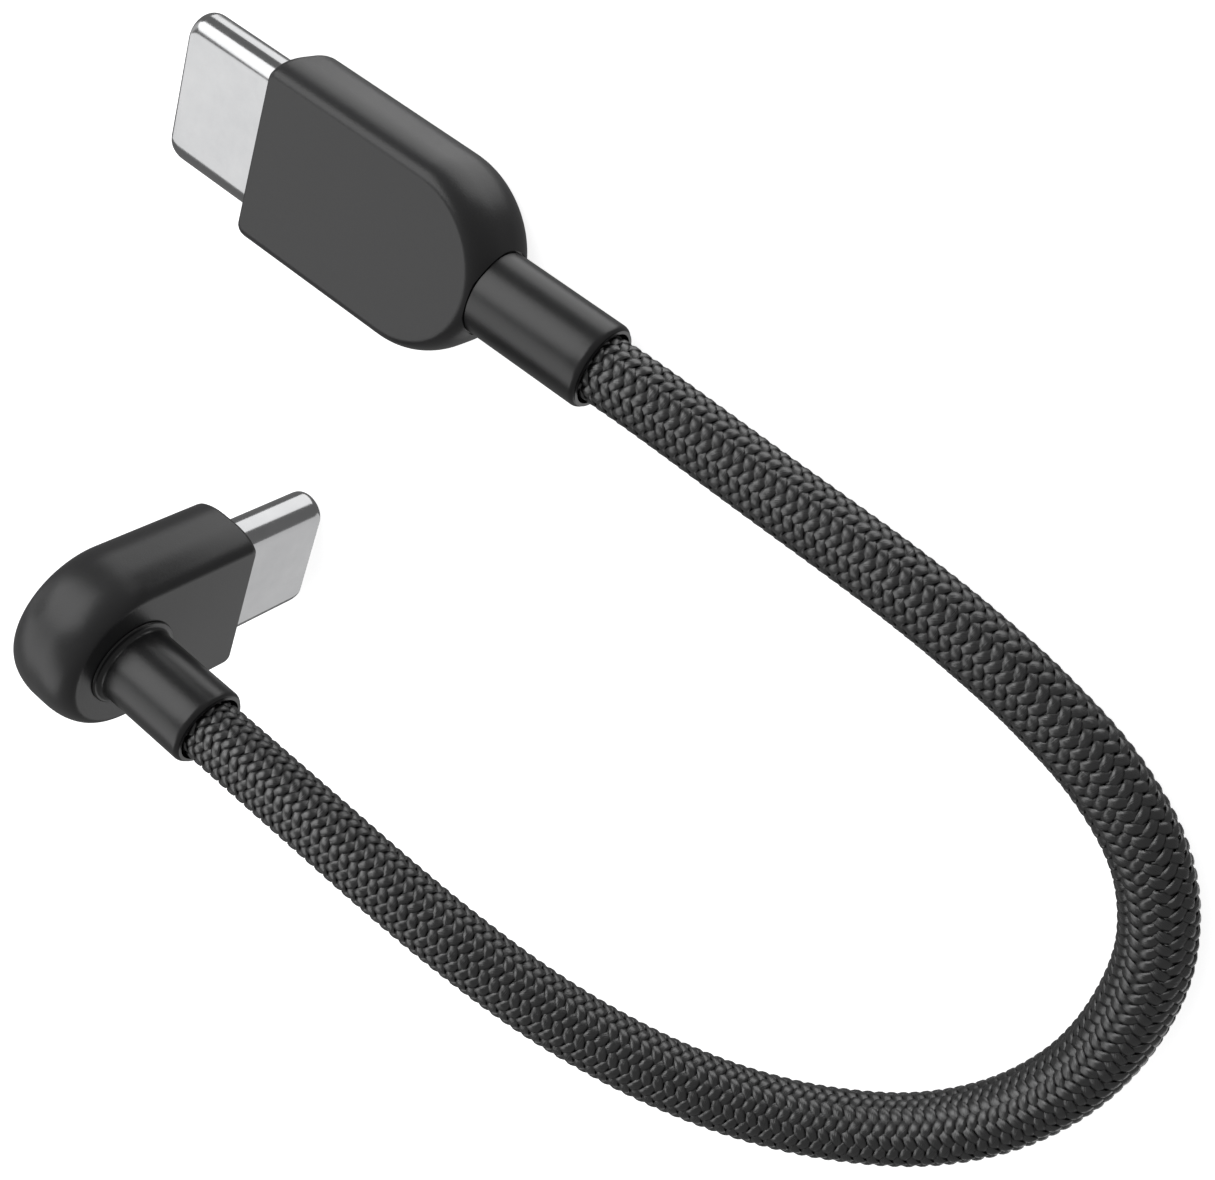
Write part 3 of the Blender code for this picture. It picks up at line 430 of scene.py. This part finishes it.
def yarn_material():
    """Twisted black nylon: fine filaments slant along each yarn, with the lustre of drawn fibre."""
    material, tree, shader = start_material("black_nylon_yarn")
    uv = make_node(tree, "ShaderNodeUVMap", uv_map="along_and_round").outputs["UV"]
    apart = make_node(tree, "ShaderNodeSeparateXYZ", {"Vector": uv})
    slant = make_node(
        tree,
        "ShaderNodeMath",
        {0: apart.outputs["X"], 1: 0.35, 2: apart.outputs["Y"]},
        operation="MULTIPLY_ADD",
    )
    filament_place = make_node(
        tree,
        "ShaderNodeCombineXYZ",
        {"X": apart.outputs["X"], "Y": slant.outputs[0], "Z": 0.0},
    )
    stretched = make_node(
        tree,
        "ShaderNodeVectorMath",
        {0: filament_place.outputs["Vector"], 1: (1.2, 34.0, 1.0)},
        operation="MULTIPLY",
    )
    filaments = make_node(
        tree,
        "ShaderNodeTexNoise",
        {"Vector": stretched.outputs["Vector"], "Scale": 1.0, "Detail": 3.0, "Roughness": 0.55},
    )
    patches = place_group(tree, uneven, Patch_Size=3.0, Contrast=1.2)
    tone = make_node(
        tree,
        "ShaderNodeMath",
        {0: filaments.outputs["Fac"], 1: 0.6, 2: patches.outputs["Mask"]},
        operation="MULTIPLY_ADD",
    )
    colour = colour_ramp(
        tree, tone.outputs[0], [(0.45, (0.004, 0.004, 0.0042)), (1.0, (0.014, 0.014, 0.0145))]
    )
    tree.links.new(colour, shader.inputs["Base Color"])
    rough = make_node(
        tree,
        "ShaderNodeMapRange",
        {"Value": filaments.outputs["Fac"], "To Min": 0.22, "To Max": 0.36},
    )
    tree.links.new(rough.outputs["Result"], shader.inputs["Roughness"])
    shader_values(shader, IOR=1.75, Specular_IOR_Level=0.80)
    normal = bump(tree, filaments.outputs["Fac"], 0.020 * MM, 0.8)
    tree.links.new(normal, shader.inputs["Normal"])
    return material


def core_material():
    """The core's extruded jacket, seen only as darkness between the yarns."""
    material, tree, shader = start_material("black_core_jacket")
    patches = place_group(tree, uneven, Patch_Size=1.0, Contrast=1.0)
    colour = colour_ramp(
        tree, patches.outputs["Mask"], [(0.3, (0.004, 0.004, 0.004)), (0.8, (0.010, 0.010, 0.010))]
    )
    tree.links.new(colour, shader.inputs["Base Color"])
    shader_values(shader, Roughness=0.7)
    normal = bump(tree, patches.outputs["Fine Mask"], 0.01 * MM)
    tree.links.new(normal, shader.inputs["Normal"])
    return material


yarn_finish = yarn_material()
for yarns in sleeve_yarns.values():
    yarns.data.materials.append(yarn_finish)
    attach(yarns, "root")
cord_core.data.materials.append(core_material())
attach(cord_core, "root")
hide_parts("braided_cord")
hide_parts("straight_cord_end", "angled_cord_end")


# The metal shells. Each is drawn from thin steel into an oval tube, plated with satin nickel and
# pressed into its housing. The mouth is rounded outside and lightly eased inside.

SHELL_WALL = 0.22 * MM
SHELL_LIP = 0.13 * MM
SHELL_CORNER = 0.60 * MM
ROUND_STEPS = 20


def plug_matrix(plug):
    """From a plug's own frame to the world: x back from the housing's front, y across, z through."""
    low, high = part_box(f"{plug}_housing")
    middle = (low + high) / 2
    if plug == "straight":
        return Matrix.Translation((low.x, middle.y, middle.z))
    shell_down = Euler((0, -math.pi / 2, math.pi)).to_matrix().to_4x4()
    return Matrix.Translation((middle.x, middle.y, low.z)) @ shell_down


def node_size(node, plug):
    """A CAD node's lowest and highest corners in its plug's own frame."""
    corners = [plug_matrix(plug).inverted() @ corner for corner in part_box(node)]
    low = Vector(min(a, b) for a, b in zip(*corners))
    high = Vector(max(a, b) for a, b in zip(*corners))
    return low, high


def quarter_arc(centre_a, centre_b, radius, start, steps):
    turns = [start + math.pi / 2 * i / steps for i in range(steps + 1)]
    return [(centre_a + radius * math.cos(t), centre_b + radius * math.sin(t)) for t in turns]


def oval_ring(x, width, height, steps=ROUND_STEPS):
    radius = height / 2
    reach = width / 2 - radius
    outline = quarter_arc(reach, 0, radius, -math.pi / 2, steps)
    outline += quarter_arc(reach, 0, radius, 0, steps)[1:]
    outline += quarter_arc(-reach, 0, radius, math.pi / 2, steps)
    outline += quarter_arc(-reach, 0, radius, math.pi, steps)[1:]
    return [(x, y, z) for y, z in outline]


def loft(name, rings, closed=False):
    """A closed mesh through rings of points. closed joins the last ring to the first."""
    bm = bmesh.new()
    loops = [[bm.verts.new(point) for point in ring] for ring in rings]
    pairs = list(zip(loops, loops[1:]))
    if closed:
        pairs.append((loops[-1], loops[0]))
    else:
        bm.faces.new(loops[0])
        bm.faces.new(loops[-1])
    for first, second in pairs:
        for i in range(len(first)):
            j = (i + 1) % len(first)
            bm.faces.new((first[i], first[j], second[j], second[i]))
    bmesh.ops.recalc_face_normals(bm, faces=bm.faces)
    mesh = bpy.data.meshes.new(name)
    bm.to_mesh(mesh)
    bm.free()
    return mesh


def settle(obj, sharp=40):
    """Applies the modifiers, shades the result smooth between sharp edges and keeps flat faces flat."""
    bpy.context.view_layer.update()
    evaluated = obj.evaluated_get(bpy.context.evaluated_depsgraph_get())
    mesh = bpy.data.meshes.new_from_object(evaluated)
    obj.modifiers.clear()
    obj.data = mesh
    mesh.shade_smooth()
    mesh.set_sharp_from_angle(angle=math.radians(sharp))
    weighted = obj.modifiers.new("flat_faces", "WEIGHTED_NORMAL")
    weighted.keep_sharp = True
    weighted.weight = 100


def finish_piece(obj, node, material):
    """Gives a piece that stands for a CAD node its material, and makes it ride on the body."""
    obj.data.materials.clear()
    obj.data.materials.append(material)
    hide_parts(node)
    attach(obj, "root")


def shell_material():
    """Satin nickel: faint drawing lines along the shell, soft marks from use and a cloudy gloss."""
    material, tree, shader = start_material("satin_nickel")
    place = make_node(tree, "ShaderNodeTexCoord").outputs["Object"]
    lines = []
    for stretch in ((0.6, 26.0, 26.0), (26.0, 26.0, 0.6)):
        scaled = make_node(
            tree,
            "ShaderNodeVectorMath",
            {0: place, 1: tuple(k / MM for k in stretch)},
            operation="MULTIPLY",
        )
        noise = make_node(
            tree,
            "ShaderNodeTexNoise",
            {"Vector": scaled.outputs["Vector"], "Scale": 1.0, "Detail": 2.0},
        )
        lines.append(noise.outputs["Fac"])
    both = make_node(tree, "ShaderNodeMath", {0: lines[0], 1: lines[1]}, operation="MULTIPLY")
    marks = place_group(tree, uneven, Patch_Size=2.5, Contrast=1.3)
    colour = colour_ramp(
        tree, marks.outputs["Mask"], [(0.25, (0.47, 0.473, 0.48)), (0.8, (0.53, 0.531, 0.536))]
    )
    tree.links.new(colour, shader.inputs["Base Color"])
    rough = make_node(
        tree,
        "ShaderNodeMapRange",
        {"Value": marks.outputs["Mask"], "To Min": 0.13, "To Max": 0.19},
    )
    tree.links.new(rough.outputs["Result"], shader.inputs["Roughness"])
    shader_values(shader, Metallic=1.0)
    normal = bump(tree, both.outputs[0], 0.0012 * MM)
    normal = bump(tree, marks.outputs["Fine Mask"], 0.0010 * MM, normal=normal)
    tree.links.new(normal, shader.inputs["Normal"])
    return material


def shell_rings(low, high):
    """Rings from the back, forward outside, round the mouth's lip and back along the bore."""
    width, height = high.y - low.y, high.z - low.z
    bore_width, bore_height = width - 2 * SHELL_WALL, height - 2 * SHELL_WALL
    bore_corner = SHELL_CORNER - SHELL_WALL
    rings = [oval_ring(high.x, width, height)]
    steps = 10
    for i in range(steps + 1):
        angle = math.pi / 2 * i / steps
        back = SHELL_CORNER * (1 - math.sin(angle))
        side_inset = SHELL_CORNER * (1 - math.cos(angle)) * (1 - SHELL_WALL / SHELL_CORNER)
        flat_back = max(SHELL_LIP - back, 0)
        flat_inset = SHELL_LIP - math.sqrt(SHELL_LIP**2 - flat_back**2)
        rings.append(oval_ring(low.x + back, width - 2 * side_inset, height - 2 * flat_inset))
    for i in range(steps + 1):
        angle = math.pi / 2 * i / steps
        back = bore_corner * (1 - math.cos(angle))
        side_inset = bore_corner * (1 - math.sin(angle))
        rings.append(oval_ring(low.x + back, bore_width - 2 * side_inset, bore_height))
    rings.append(oval_ring(high.x, bore_width, bore_height))
    return rings


shell_finish = shell_material()
for plug in ("straight", "angled"):
    node = f"{plug}_shell"
    shell = link_object(f"{plug}_plug_shell", loft(node, shell_rings(*node_size(node, plug)), True))
    shell.matrix_world = plug_matrix(plug)
    settle(shell)
    finish_piece(shell, node, shell_finish)


# The housings. Each is one moulding in dark grey plastic with a fine satin grain: flat at the front
# round the shell, round at the cord's end, with edges that turn quickly and then dome gently.

EDGE_INSET = 0.93 * MM
EDGE_DEPTH = 1.95 * MM
EDGE_STEPS = 18
END_STEPS = 40
FRONT_EDGE = 0.14 * MM
FRONT_CORNER = 0.38 * MM
CAVITY_WALL = 0.60 * MM
STRAIGHT_BACK_WALL = 1.8 * MM
OPENING_GAP = 0.05 * MM
SEAT_RADIUS = 2.33 * MM
SEAT_DEPTH = 0.60 * MM
ROOT_HOLE_RADIUS = 1.95 * MM
ANGLED_CORD_SETBACK = 8.0 * MM
STRAIGHT_LENGTH = 15.1 * MM
CAVITY_CORNER = 0.1 * MM
CUT_PAST = 1 * MM
HOLE_SIDES = 64


def plan_ring(z, front, back, half_width, corner, end_steps=END_STEPS):
    """The outline on the broad face: small round corners in front and a round end behind."""
    steps = 4
    outline = quarter_arc(front + corner, -half_width + corner, corner, math.pi, steps)
    outline += quarter_arc(back - half_width, 0, half_width, -math.pi / 2, end_steps)
    outline += quarter_arc(back - half_width, 0, half_width, 0, end_steps)[1:]
    outline += quarter_arc(front + corner, half_width - corner, corner, math.pi / 2, steps)
    return [(x, y, z) for x, y in outline]


def housing_rings(length, half_width, half_height):
    rings = []
    for side in (-1, 1):
        arc = []
        for i in range(EDGE_STEPS + 1):
            angle = math.pi / 2 * i / EDGE_STEPS
            inset = EDGE_INSET * (1 - math.sin(angle))
            drop = EDGE_DEPTH * (1 - math.cos(angle))
            short = max(FRONT_EDGE - drop, 0)
            front = FRONT_EDGE - math.sqrt(FRONT_EDGE**2 - short**2)
            z = side * (half_height - drop)
            arc.append(plan_ring(z, front, length - inset, half_width - inset, FRONT_CORNER))
        rings += arc[::-1] if side > 0 else arc
    return rings


def circle_ring(s, radius, count):
    turns = [2 * math.pi * i / count for i in range(count)]
    return [(s, radius * math.cos(t), radius * math.sin(t)) for t in turns]


def round_cutter(start, end, radius):
    return [circle_ring(s, radius, HOLE_SIDES) for s in (start, end)]


def cut_away(obj, label, mesh, place=(0, 0, 0), turn=(0, 0, 0)):
    """Cuts the mesh, given in obj's own frame, out of obj, and removes the cutter again."""
    cutter = link_object(f"{label}_cutter", mesh)
    local = Matrix.LocRotScale(Vector(place), Euler(turn), None)
    cutter.matrix_world = obj.matrix_world @ local
    modifier = obj.modifiers.new(label, "BOOLEAN")
    modifier.object = cutter
    bpy.context.view_layer.update()
    evaluated = obj.evaluated_get(bpy.context.evaluated_depsgraph_get())
    obj.data = bpy.data.meshes.new_from_object(evaluated)
    obj.modifiers.clear()
    bpy.data.objects.remove(cutter)


def housing_material():
    """Dark grey plastic: spark-eroded grain from the mould and a slightly uneven satin."""
    material, tree, shader = start_material("grained_grey_plastic")
    place = make_node(tree, "ShaderNodeTexCoord").outputs["Object"]
    grain = make_node(
        tree,
        "ShaderNodeTexNoise",
        {"Vector": place, "Scale": 14 / MM, "Detail": 3.0, "Roughness": 0.6},
    )
    pits = make_node(tree, "ShaderNodeTexVoronoi", {"Vector": place, "Scale": 9 / MM})
    marks = place_group(tree, uneven, Patch_Size=3.5, Contrast=1.2)
    colour = colour_ramp(
        tree, marks.outputs["Mask"], [(0.25, (0.032, 0.032, 0.033)), (0.8, (0.038, 0.038, 0.039))]
    )
    tree.links.new(colour, shader.inputs["Base Color"])
    rough = make_node(
        tree,
        "ShaderNodeMapRange",
        {"Value": marks.outputs["Mask"], "To Min": 0.29, "To Max": 0.35},
    )
    tree.links.new(rough.outputs["Result"], shader.inputs["Roughness"])
    shader_values(shader, Specular_IOR_Level=0.52)
    normal = bump(tree, grain.outputs["Fac"], 0.004 * MM)
    normal = bump(tree, pits.outputs["Distance"], 0.002 * MM, normal=normal)
    tree.links.new(normal, shader.inputs["Normal"])
    return material


housing_finish = housing_material()
for plug in ("straight", "angled"):
    node = f"{plug}_housing"
    box_low, box_high = node_size(node, plug)
    half_width = (box_high.y - box_low.y) / 2
    half_height = (box_high.z - box_low.z) / 2
    length = {"straight": STRAIGHT_LENGTH, "angled": box_high.x}[plug]
    back_wall = {"straight": STRAIGHT_BACK_WALL, "angled": CAVITY_WALL}[plug]
    rings = housing_rings(length, half_width, half_height)
    housing = link_object(f"{plug}_plug_housing", loft(node, rings))
    housing.matrix_world = plug_matrix(plug)
    inner_width = half_width - CAVITY_WALL
    inner_height = half_height - CAVITY_WALL
    cavity = [
        plan_ring(z, CAVITY_WALL, length - back_wall, inner_width, CAVITY_CORNER)
        for z in (-inner_height, inner_height)
    ]
    cut_away(housing, "cavity", loft("cavity", cavity))
    shell_low, shell_high = node_size(f"{plug}_shell", plug)
    opening_width = shell_high.y - shell_low.y + 2 * OPENING_GAP
    opening_height = shell_high.z - shell_low.z + 2 * OPENING_GAP
    opening = [oval_ring(x, opening_width, opening_height) for x in (-CAVITY_WALL, 2 * CAVITY_WALL)]
    cut_away(housing, "opening", loft("opening", opening))
    if plug == "straight":
        end = length + CUT_PAST
        hole = round_cutter(length - back_wall - CUT_PAST, end, ROOT_HOLE_RADIUS)
        cut_away(housing, "cord_hole", loft("cord_hole", hole))
        cut_away(housing, "seat", loft("seat", round_cutter(length - SEAT_DEPTH, end, SEAT_RADIUS)))
    else:
        hole = round_cutter(inner_height - CUT_PAST, 2 * half_height, ROOT_HOLE_RADIUS)
        centre = (ANGLED_CORD_SETBACK, 0, 0)
        cut_away(housing, "cord_hole", loft("cord_hole", hole), centre, (0, -math.pi / 2, 0))
    settle(housing)
    finish_piece(housing, node, housing_finish)


# The strain reliefs. Soft black rubber sleeves, moulded onto the cord: a root held in the housing,
# a straight barrel with a full round lip, and a bore that opens a little towards the mouth. The
# right-angle plug's sleeve has a low collar where it stands on the housing's flat.

RELIEF_RADIUS = 2.25 * MM
RELIEF_ROOT_RADIUS = 1.90 * MM
RELIEF_BORE = 1.80 * MM
RELIEF_MOUTH = 2.00 * MM
MOUTH_DEPTH = 1.3 * MM
LIP_RADIUS = 0.34 * MM
INNER_LIP = 0.08 * MM
CORE_BORE = 1.45 * MM
RELIEF_STOP = 0.60 * MM
COLLAR_RADIUS = 2.65 * MM
COLLAR_HEIGHT = 0.16 * MM
COLLAR_EDGE = 0.11 * MM
COLLAR_FILLET = 0.28 * MM
BASE_GAP = 0.05 * MM
STRAIGHT_ROOT = 1.6 * MM
ANGLED_ROOT = 0.5 * MM
TURN_SIDES = 96


def rounded_corner(s_edge, r_edge, radius, toward_s, toward_r, steps=8):
    """Points of a quarter round at a turned corner, going from the side face to the end face."""
    points = []
    for i in range(steps + 1):
        angle = math.pi / 2 * i / steps
        s = s_edge + toward_s * radius * (1 - math.sin(angle))
        r = r_edge + toward_r * radius * (1 - math.cos(angle))
        points.append((s, r))
    return points


def collar_fillet(steps=6):
    """Points of the hollow quarter round between the collar's top and the barrel."""
    points = []
    for i in range(steps + 1):
        angle = math.pi / 2 * i / steps
        s = COLLAR_HEIGHT + COLLAR_FILLET * (1 - math.cos(angle))
        r = RELIEF_RADIUS + COLLAR_FILLET * (1 - math.sin(angle))
        points.append((s, r))
    return points


def relief_profile(length, root, collar):
    """(s, radius) points round the sleeve's wall, where s runs out from the housing's face."""
    profile = [(-root, RELIEF_ROOT_RADIUS), (BASE_GAP, RELIEF_ROOT_RADIUS)]
    if collar:
        profile += [(BASE_GAP, COLLAR_RADIUS)]
        profile += rounded_corner(COLLAR_HEIGHT, COLLAR_RADIUS, COLLAR_EDGE, -1, -1)
        profile += collar_fillet()
    else:
        profile += [(BASE_GAP, RELIEF_RADIUS - BASE_GAP), (2 * BASE_GAP, RELIEF_RADIUS)]
    profile += [(length - 3 * LIP_RADIUS, RELIEF_RADIUS)]
    profile += rounded_corner(length, RELIEF_RADIUS, LIP_RADIUS, -1, -1)
    profile += rounded_corner(length, RELIEF_MOUTH, INNER_LIP, -1, 1, 4)[::-1]
    profile += [(length - MOUTH_DEPTH, RELIEF_BORE), (RELIEF_STOP, RELIEF_BORE)]
    profile += [(RELIEF_STOP, CORE_BORE), (-root, CORE_BORE)]
    return profile


def relief_material():
    """Black rubber: a fine matt grain, soft cloudy patches and a dull sheen."""
    material, tree, shader = start_material("satin_black_rubber")
    place = make_node(tree, "ShaderNodeTexCoord").outputs["Object"]
    grain = make_node(
        tree,
        "ShaderNodeTexNoise",
        {"Vector": place, "Scale": 18 / MM, "Detail": 4.0, "Roughness": 0.65},
    )
    marks = place_group(tree, uneven, Patch_Size=1.8, Contrast=1.3)
    colour = colour_ramp(
        tree, marks.outputs["Mask"], [(0.25, (0.015, 0.015, 0.0155)), (0.8, (0.020, 0.020, 0.0205))]
    )
    tree.links.new(colour, shader.inputs["Base Color"])
    rough = make_node(
        tree,
        "ShaderNodeMapRange",
        {"Value": marks.outputs["Mask"], "To Min": 0.27, "To Max": 0.33},
    )
    tree.links.new(rough.outputs["Result"], shader.inputs["Roughness"])
    shader_values(shader, Specular_IOR_Level=0.65)
    normal = bump(tree, grain.outputs["Fac"], 0.003 * MM)
    tree.links.new(normal, shader.inputs["Normal"])
    return material


relief_finish = relief_material()
for plug in ("straight", "angled"):
    node = f"{plug}_strain_relief"
    low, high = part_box(node)
    collar = plug == "angled"
    root = ANGLED_ROOT if collar else STRAIGHT_ROOT
    length = high.x - low.x - root
    profile = relief_profile(length, root, collar)
    rings = [circle_ring(s, radius, TURN_SIDES) for s, radius in profile]
    relief = link_object(f"{plug}_cord_relief", loft(node, rings, True))
    relief.location = (low.x + root, (low.y + high.y) / 2, (low.z + high.z) / 2)
    settle(relief)
    finish_piece(relief, node, relief_finish)


# The contact carriers, moulded in black glass-filled plastic. They fill the shells and hold the
# contacts in their channels. Fibres near the surface leave the moulding faintly cloudy.


def dress_nodes(names, material):
    """Gives carried-over CAD nodes their material."""
    for name in names:
        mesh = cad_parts[name].data
        mesh.materials.clear()
        mesh.materials.append(material)


def both_plugs(*parts):
    return [f"{plug}_{part}" for plug in ("straight", "angled") for part in parts]


def grained_material(name, dark, light, rough, grain_size, grain_depth, patch=1.5, **values):
    """A moulded or rolled surface: two shades in soft patches under a fine grain."""
    material, tree, shader = start_material(name)
    place = make_node(tree, "ShaderNodeTexCoord").outputs["Object"]
    marks = place_group(tree, uneven, Patch_Size=patch, Contrast=1.4)
    colour = colour_ramp(tree, marks.outputs["Mask"], [(0.25, dark), (0.8, light)])
    tree.links.new(colour, shader.inputs["Base Color"])
    spread = make_node(
        tree,
        "ShaderNodeMapRange",
        {"Value": marks.outputs["Fine Mask"], "To Min": rough * 0.8, "To Max": rough * 1.25},
    )
    tree.links.new(spread.outputs["Result"], shader.inputs["Roughness"])
    grain = make_node(
        tree,
        "ShaderNodeTexNoise",
        {"Vector": place, "Scale": 1 / grain_size, "Detail": 3.0, "Roughness": 0.6},
    )
    normal = bump(tree, grain.outputs["Fac"], grain_depth)
    tree.links.new(normal, shader.inputs["Normal"])
    shader_values(shader, **values)
    return material


carrier_finish = grained_material(
    "glass_filled_black", (0.012, 0.012, 0.013), (0.022, 0.022, 0.023), 0.42, 0.06 * MM, 0.003 * MM
)
dress_nodes(both_plugs("contact_carrier"), carrier_finish)


# The contacts, stamped from copper alloy strip and plated with gold. Each is bent to a soft dip at
# its tip, which wipes the socket's pad.

gold_finish = grained_material(
    "gold_plate",
    (0.80, 0.56, 0.22),
    (0.90, 0.66, 0.30),
    0.24,
    0.05 * MM,
    0.0015 * MM,
    0.8,
    Metallic=1.0,
)
contact_names = [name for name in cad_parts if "_contact_a" in name or "_contact_b" in name]
dress_nodes(contact_names, gold_finish)


# The latch plates and ground springs, blanked from stainless strip. Rolling leaves a dull grain.

spring_finish = grained_material(
    "rolled_stainless",
    (0.50, 0.50, 0.51),
    (0.60, 0.60, 0.61),
    0.30,
    0.04 * MM,
    0.0015 * MM,
    1.2,
    Metallic=1.0,
)
dress_nodes(both_plugs("latch_plate", "upper_ground_spring", "lower_ground_spring"), spring_finish)


# The circuit boards: glass cloth under green solder mask, with copper tracks showing as a paler
# green, and the marker chip, a black moulded package with a dull top.


def board_material():
    """Solder mask over copper: the tracks run along the board and step across it now and then."""
    material, tree, shader = start_material("green_solder_mask")
    place = make_node(tree, "ShaderNodeTexCoord").outputs["Object"]
    tracks = make_node(
        tree,
        "ShaderNodeTexBrick",
        {"Vector": place, "Scale": 2.2 / MM, "Mortar Size": 0.09, "Mortar Smooth": 0.3},
    )
    marks = place_group(tree, uneven, Patch_Size=1.2, Contrast=1.2)
    copper = make_node(
        tree,
        "ShaderNodeMix",
        {"Factor": tracks.outputs["Fac"], "A": (0.010, 0.075, 0.035, 1), "B": (0.03, 0.14, 0.06, 1)},
        data_type="RGBA",
    )
    tree.links.new(copper.outputs["Result"], shader.inputs["Base Color"])
    rough = make_node(
        tree,
        "ShaderNodeMapRange",
        {"Value": marks.outputs["Mask"], "To Min": 0.28, "To Max": 0.45},
    )
    tree.links.new(rough.outputs["Result"], shader.inputs["Roughness"])
    normal = bump(tree, tracks.outputs["Fac"], 0.012 * MM)
    tree.links.new(normal, shader.inputs["Normal"])
    return material


dress_nodes(both_plugs("circuit_board"), board_material())
chip_finish = grained_material(
    "chip_moulding", (0.018, 0.018, 0.019), (0.030, 0.030, 0.031), 0.5, 0.05 * MM, 0.004 * MM, 0.6
)
dress_nodes(["straight_marker_chip"], chip_finish)


# The shield halves over the boards, folded from tinned sheet, and the inner mouldings that lock the
# shell, the shield and the crimp together before the housing goes on.

shield_finish = grained_material(
    "tinned_sheet",
    (0.52, 0.52, 0.50),
    (0.64, 0.64, 0.61),
    0.36,
    0.09 * MM,
    0.003 * MM,
    1.0,
    Metallic=1.0,
)
dress_nodes(both_plugs("upper_shield", "lower_shield"), shield_finish)
mould_finish = grained_material(
    "inner_moulding", (0.030, 0.030, 0.033), (0.050, 0.050, 0.054), 0.55, 0.08 * MM, 0.006 * MM, 2.0
)
dress_nodes(both_plugs("inner_mould"), mould_finish)


# The crimp ferrules, drawn brass closed round the core, and the four insulated wires that fan out
# from it to the board: red for power, blue for control, white for data and black for ground.

ferrule_finish = grained_material(
    "crimped_brass",
    (0.62, 0.48, 0.22),
    (0.76, 0.62, 0.34),
    0.34,
    0.12 * MM,
    0.006 * MM,
    0.7,
    Metallic=1.0,
)
dress_nodes(both_plugs("crimp_ferrule"), ferrule_finish)
WIRE_COLOURS = {
    "power": ((0.42, 0.015, 0.015), (0.58, 0.03, 0.03)),
    "control": ((0.02, 0.08, 0.34), (0.05, 0.13, 0.48)),
    "data": ((0.66, 0.66, 0.63), (0.80, 0.80, 0.78)),
    "ground": ((0.012, 0.012, 0.012), (0.026, 0.026, 0.026)),
}
for wire, (dark, light) in WIRE_COLOURS.items():
    wire_finish = grained_material(f"{wire}_insulation", dark, light, 0.38, 0.1 * MM, 0.002 * MM, 0.9)
    dress_nodes(both_plugs(f"wire_{wire}"), wire_finish)
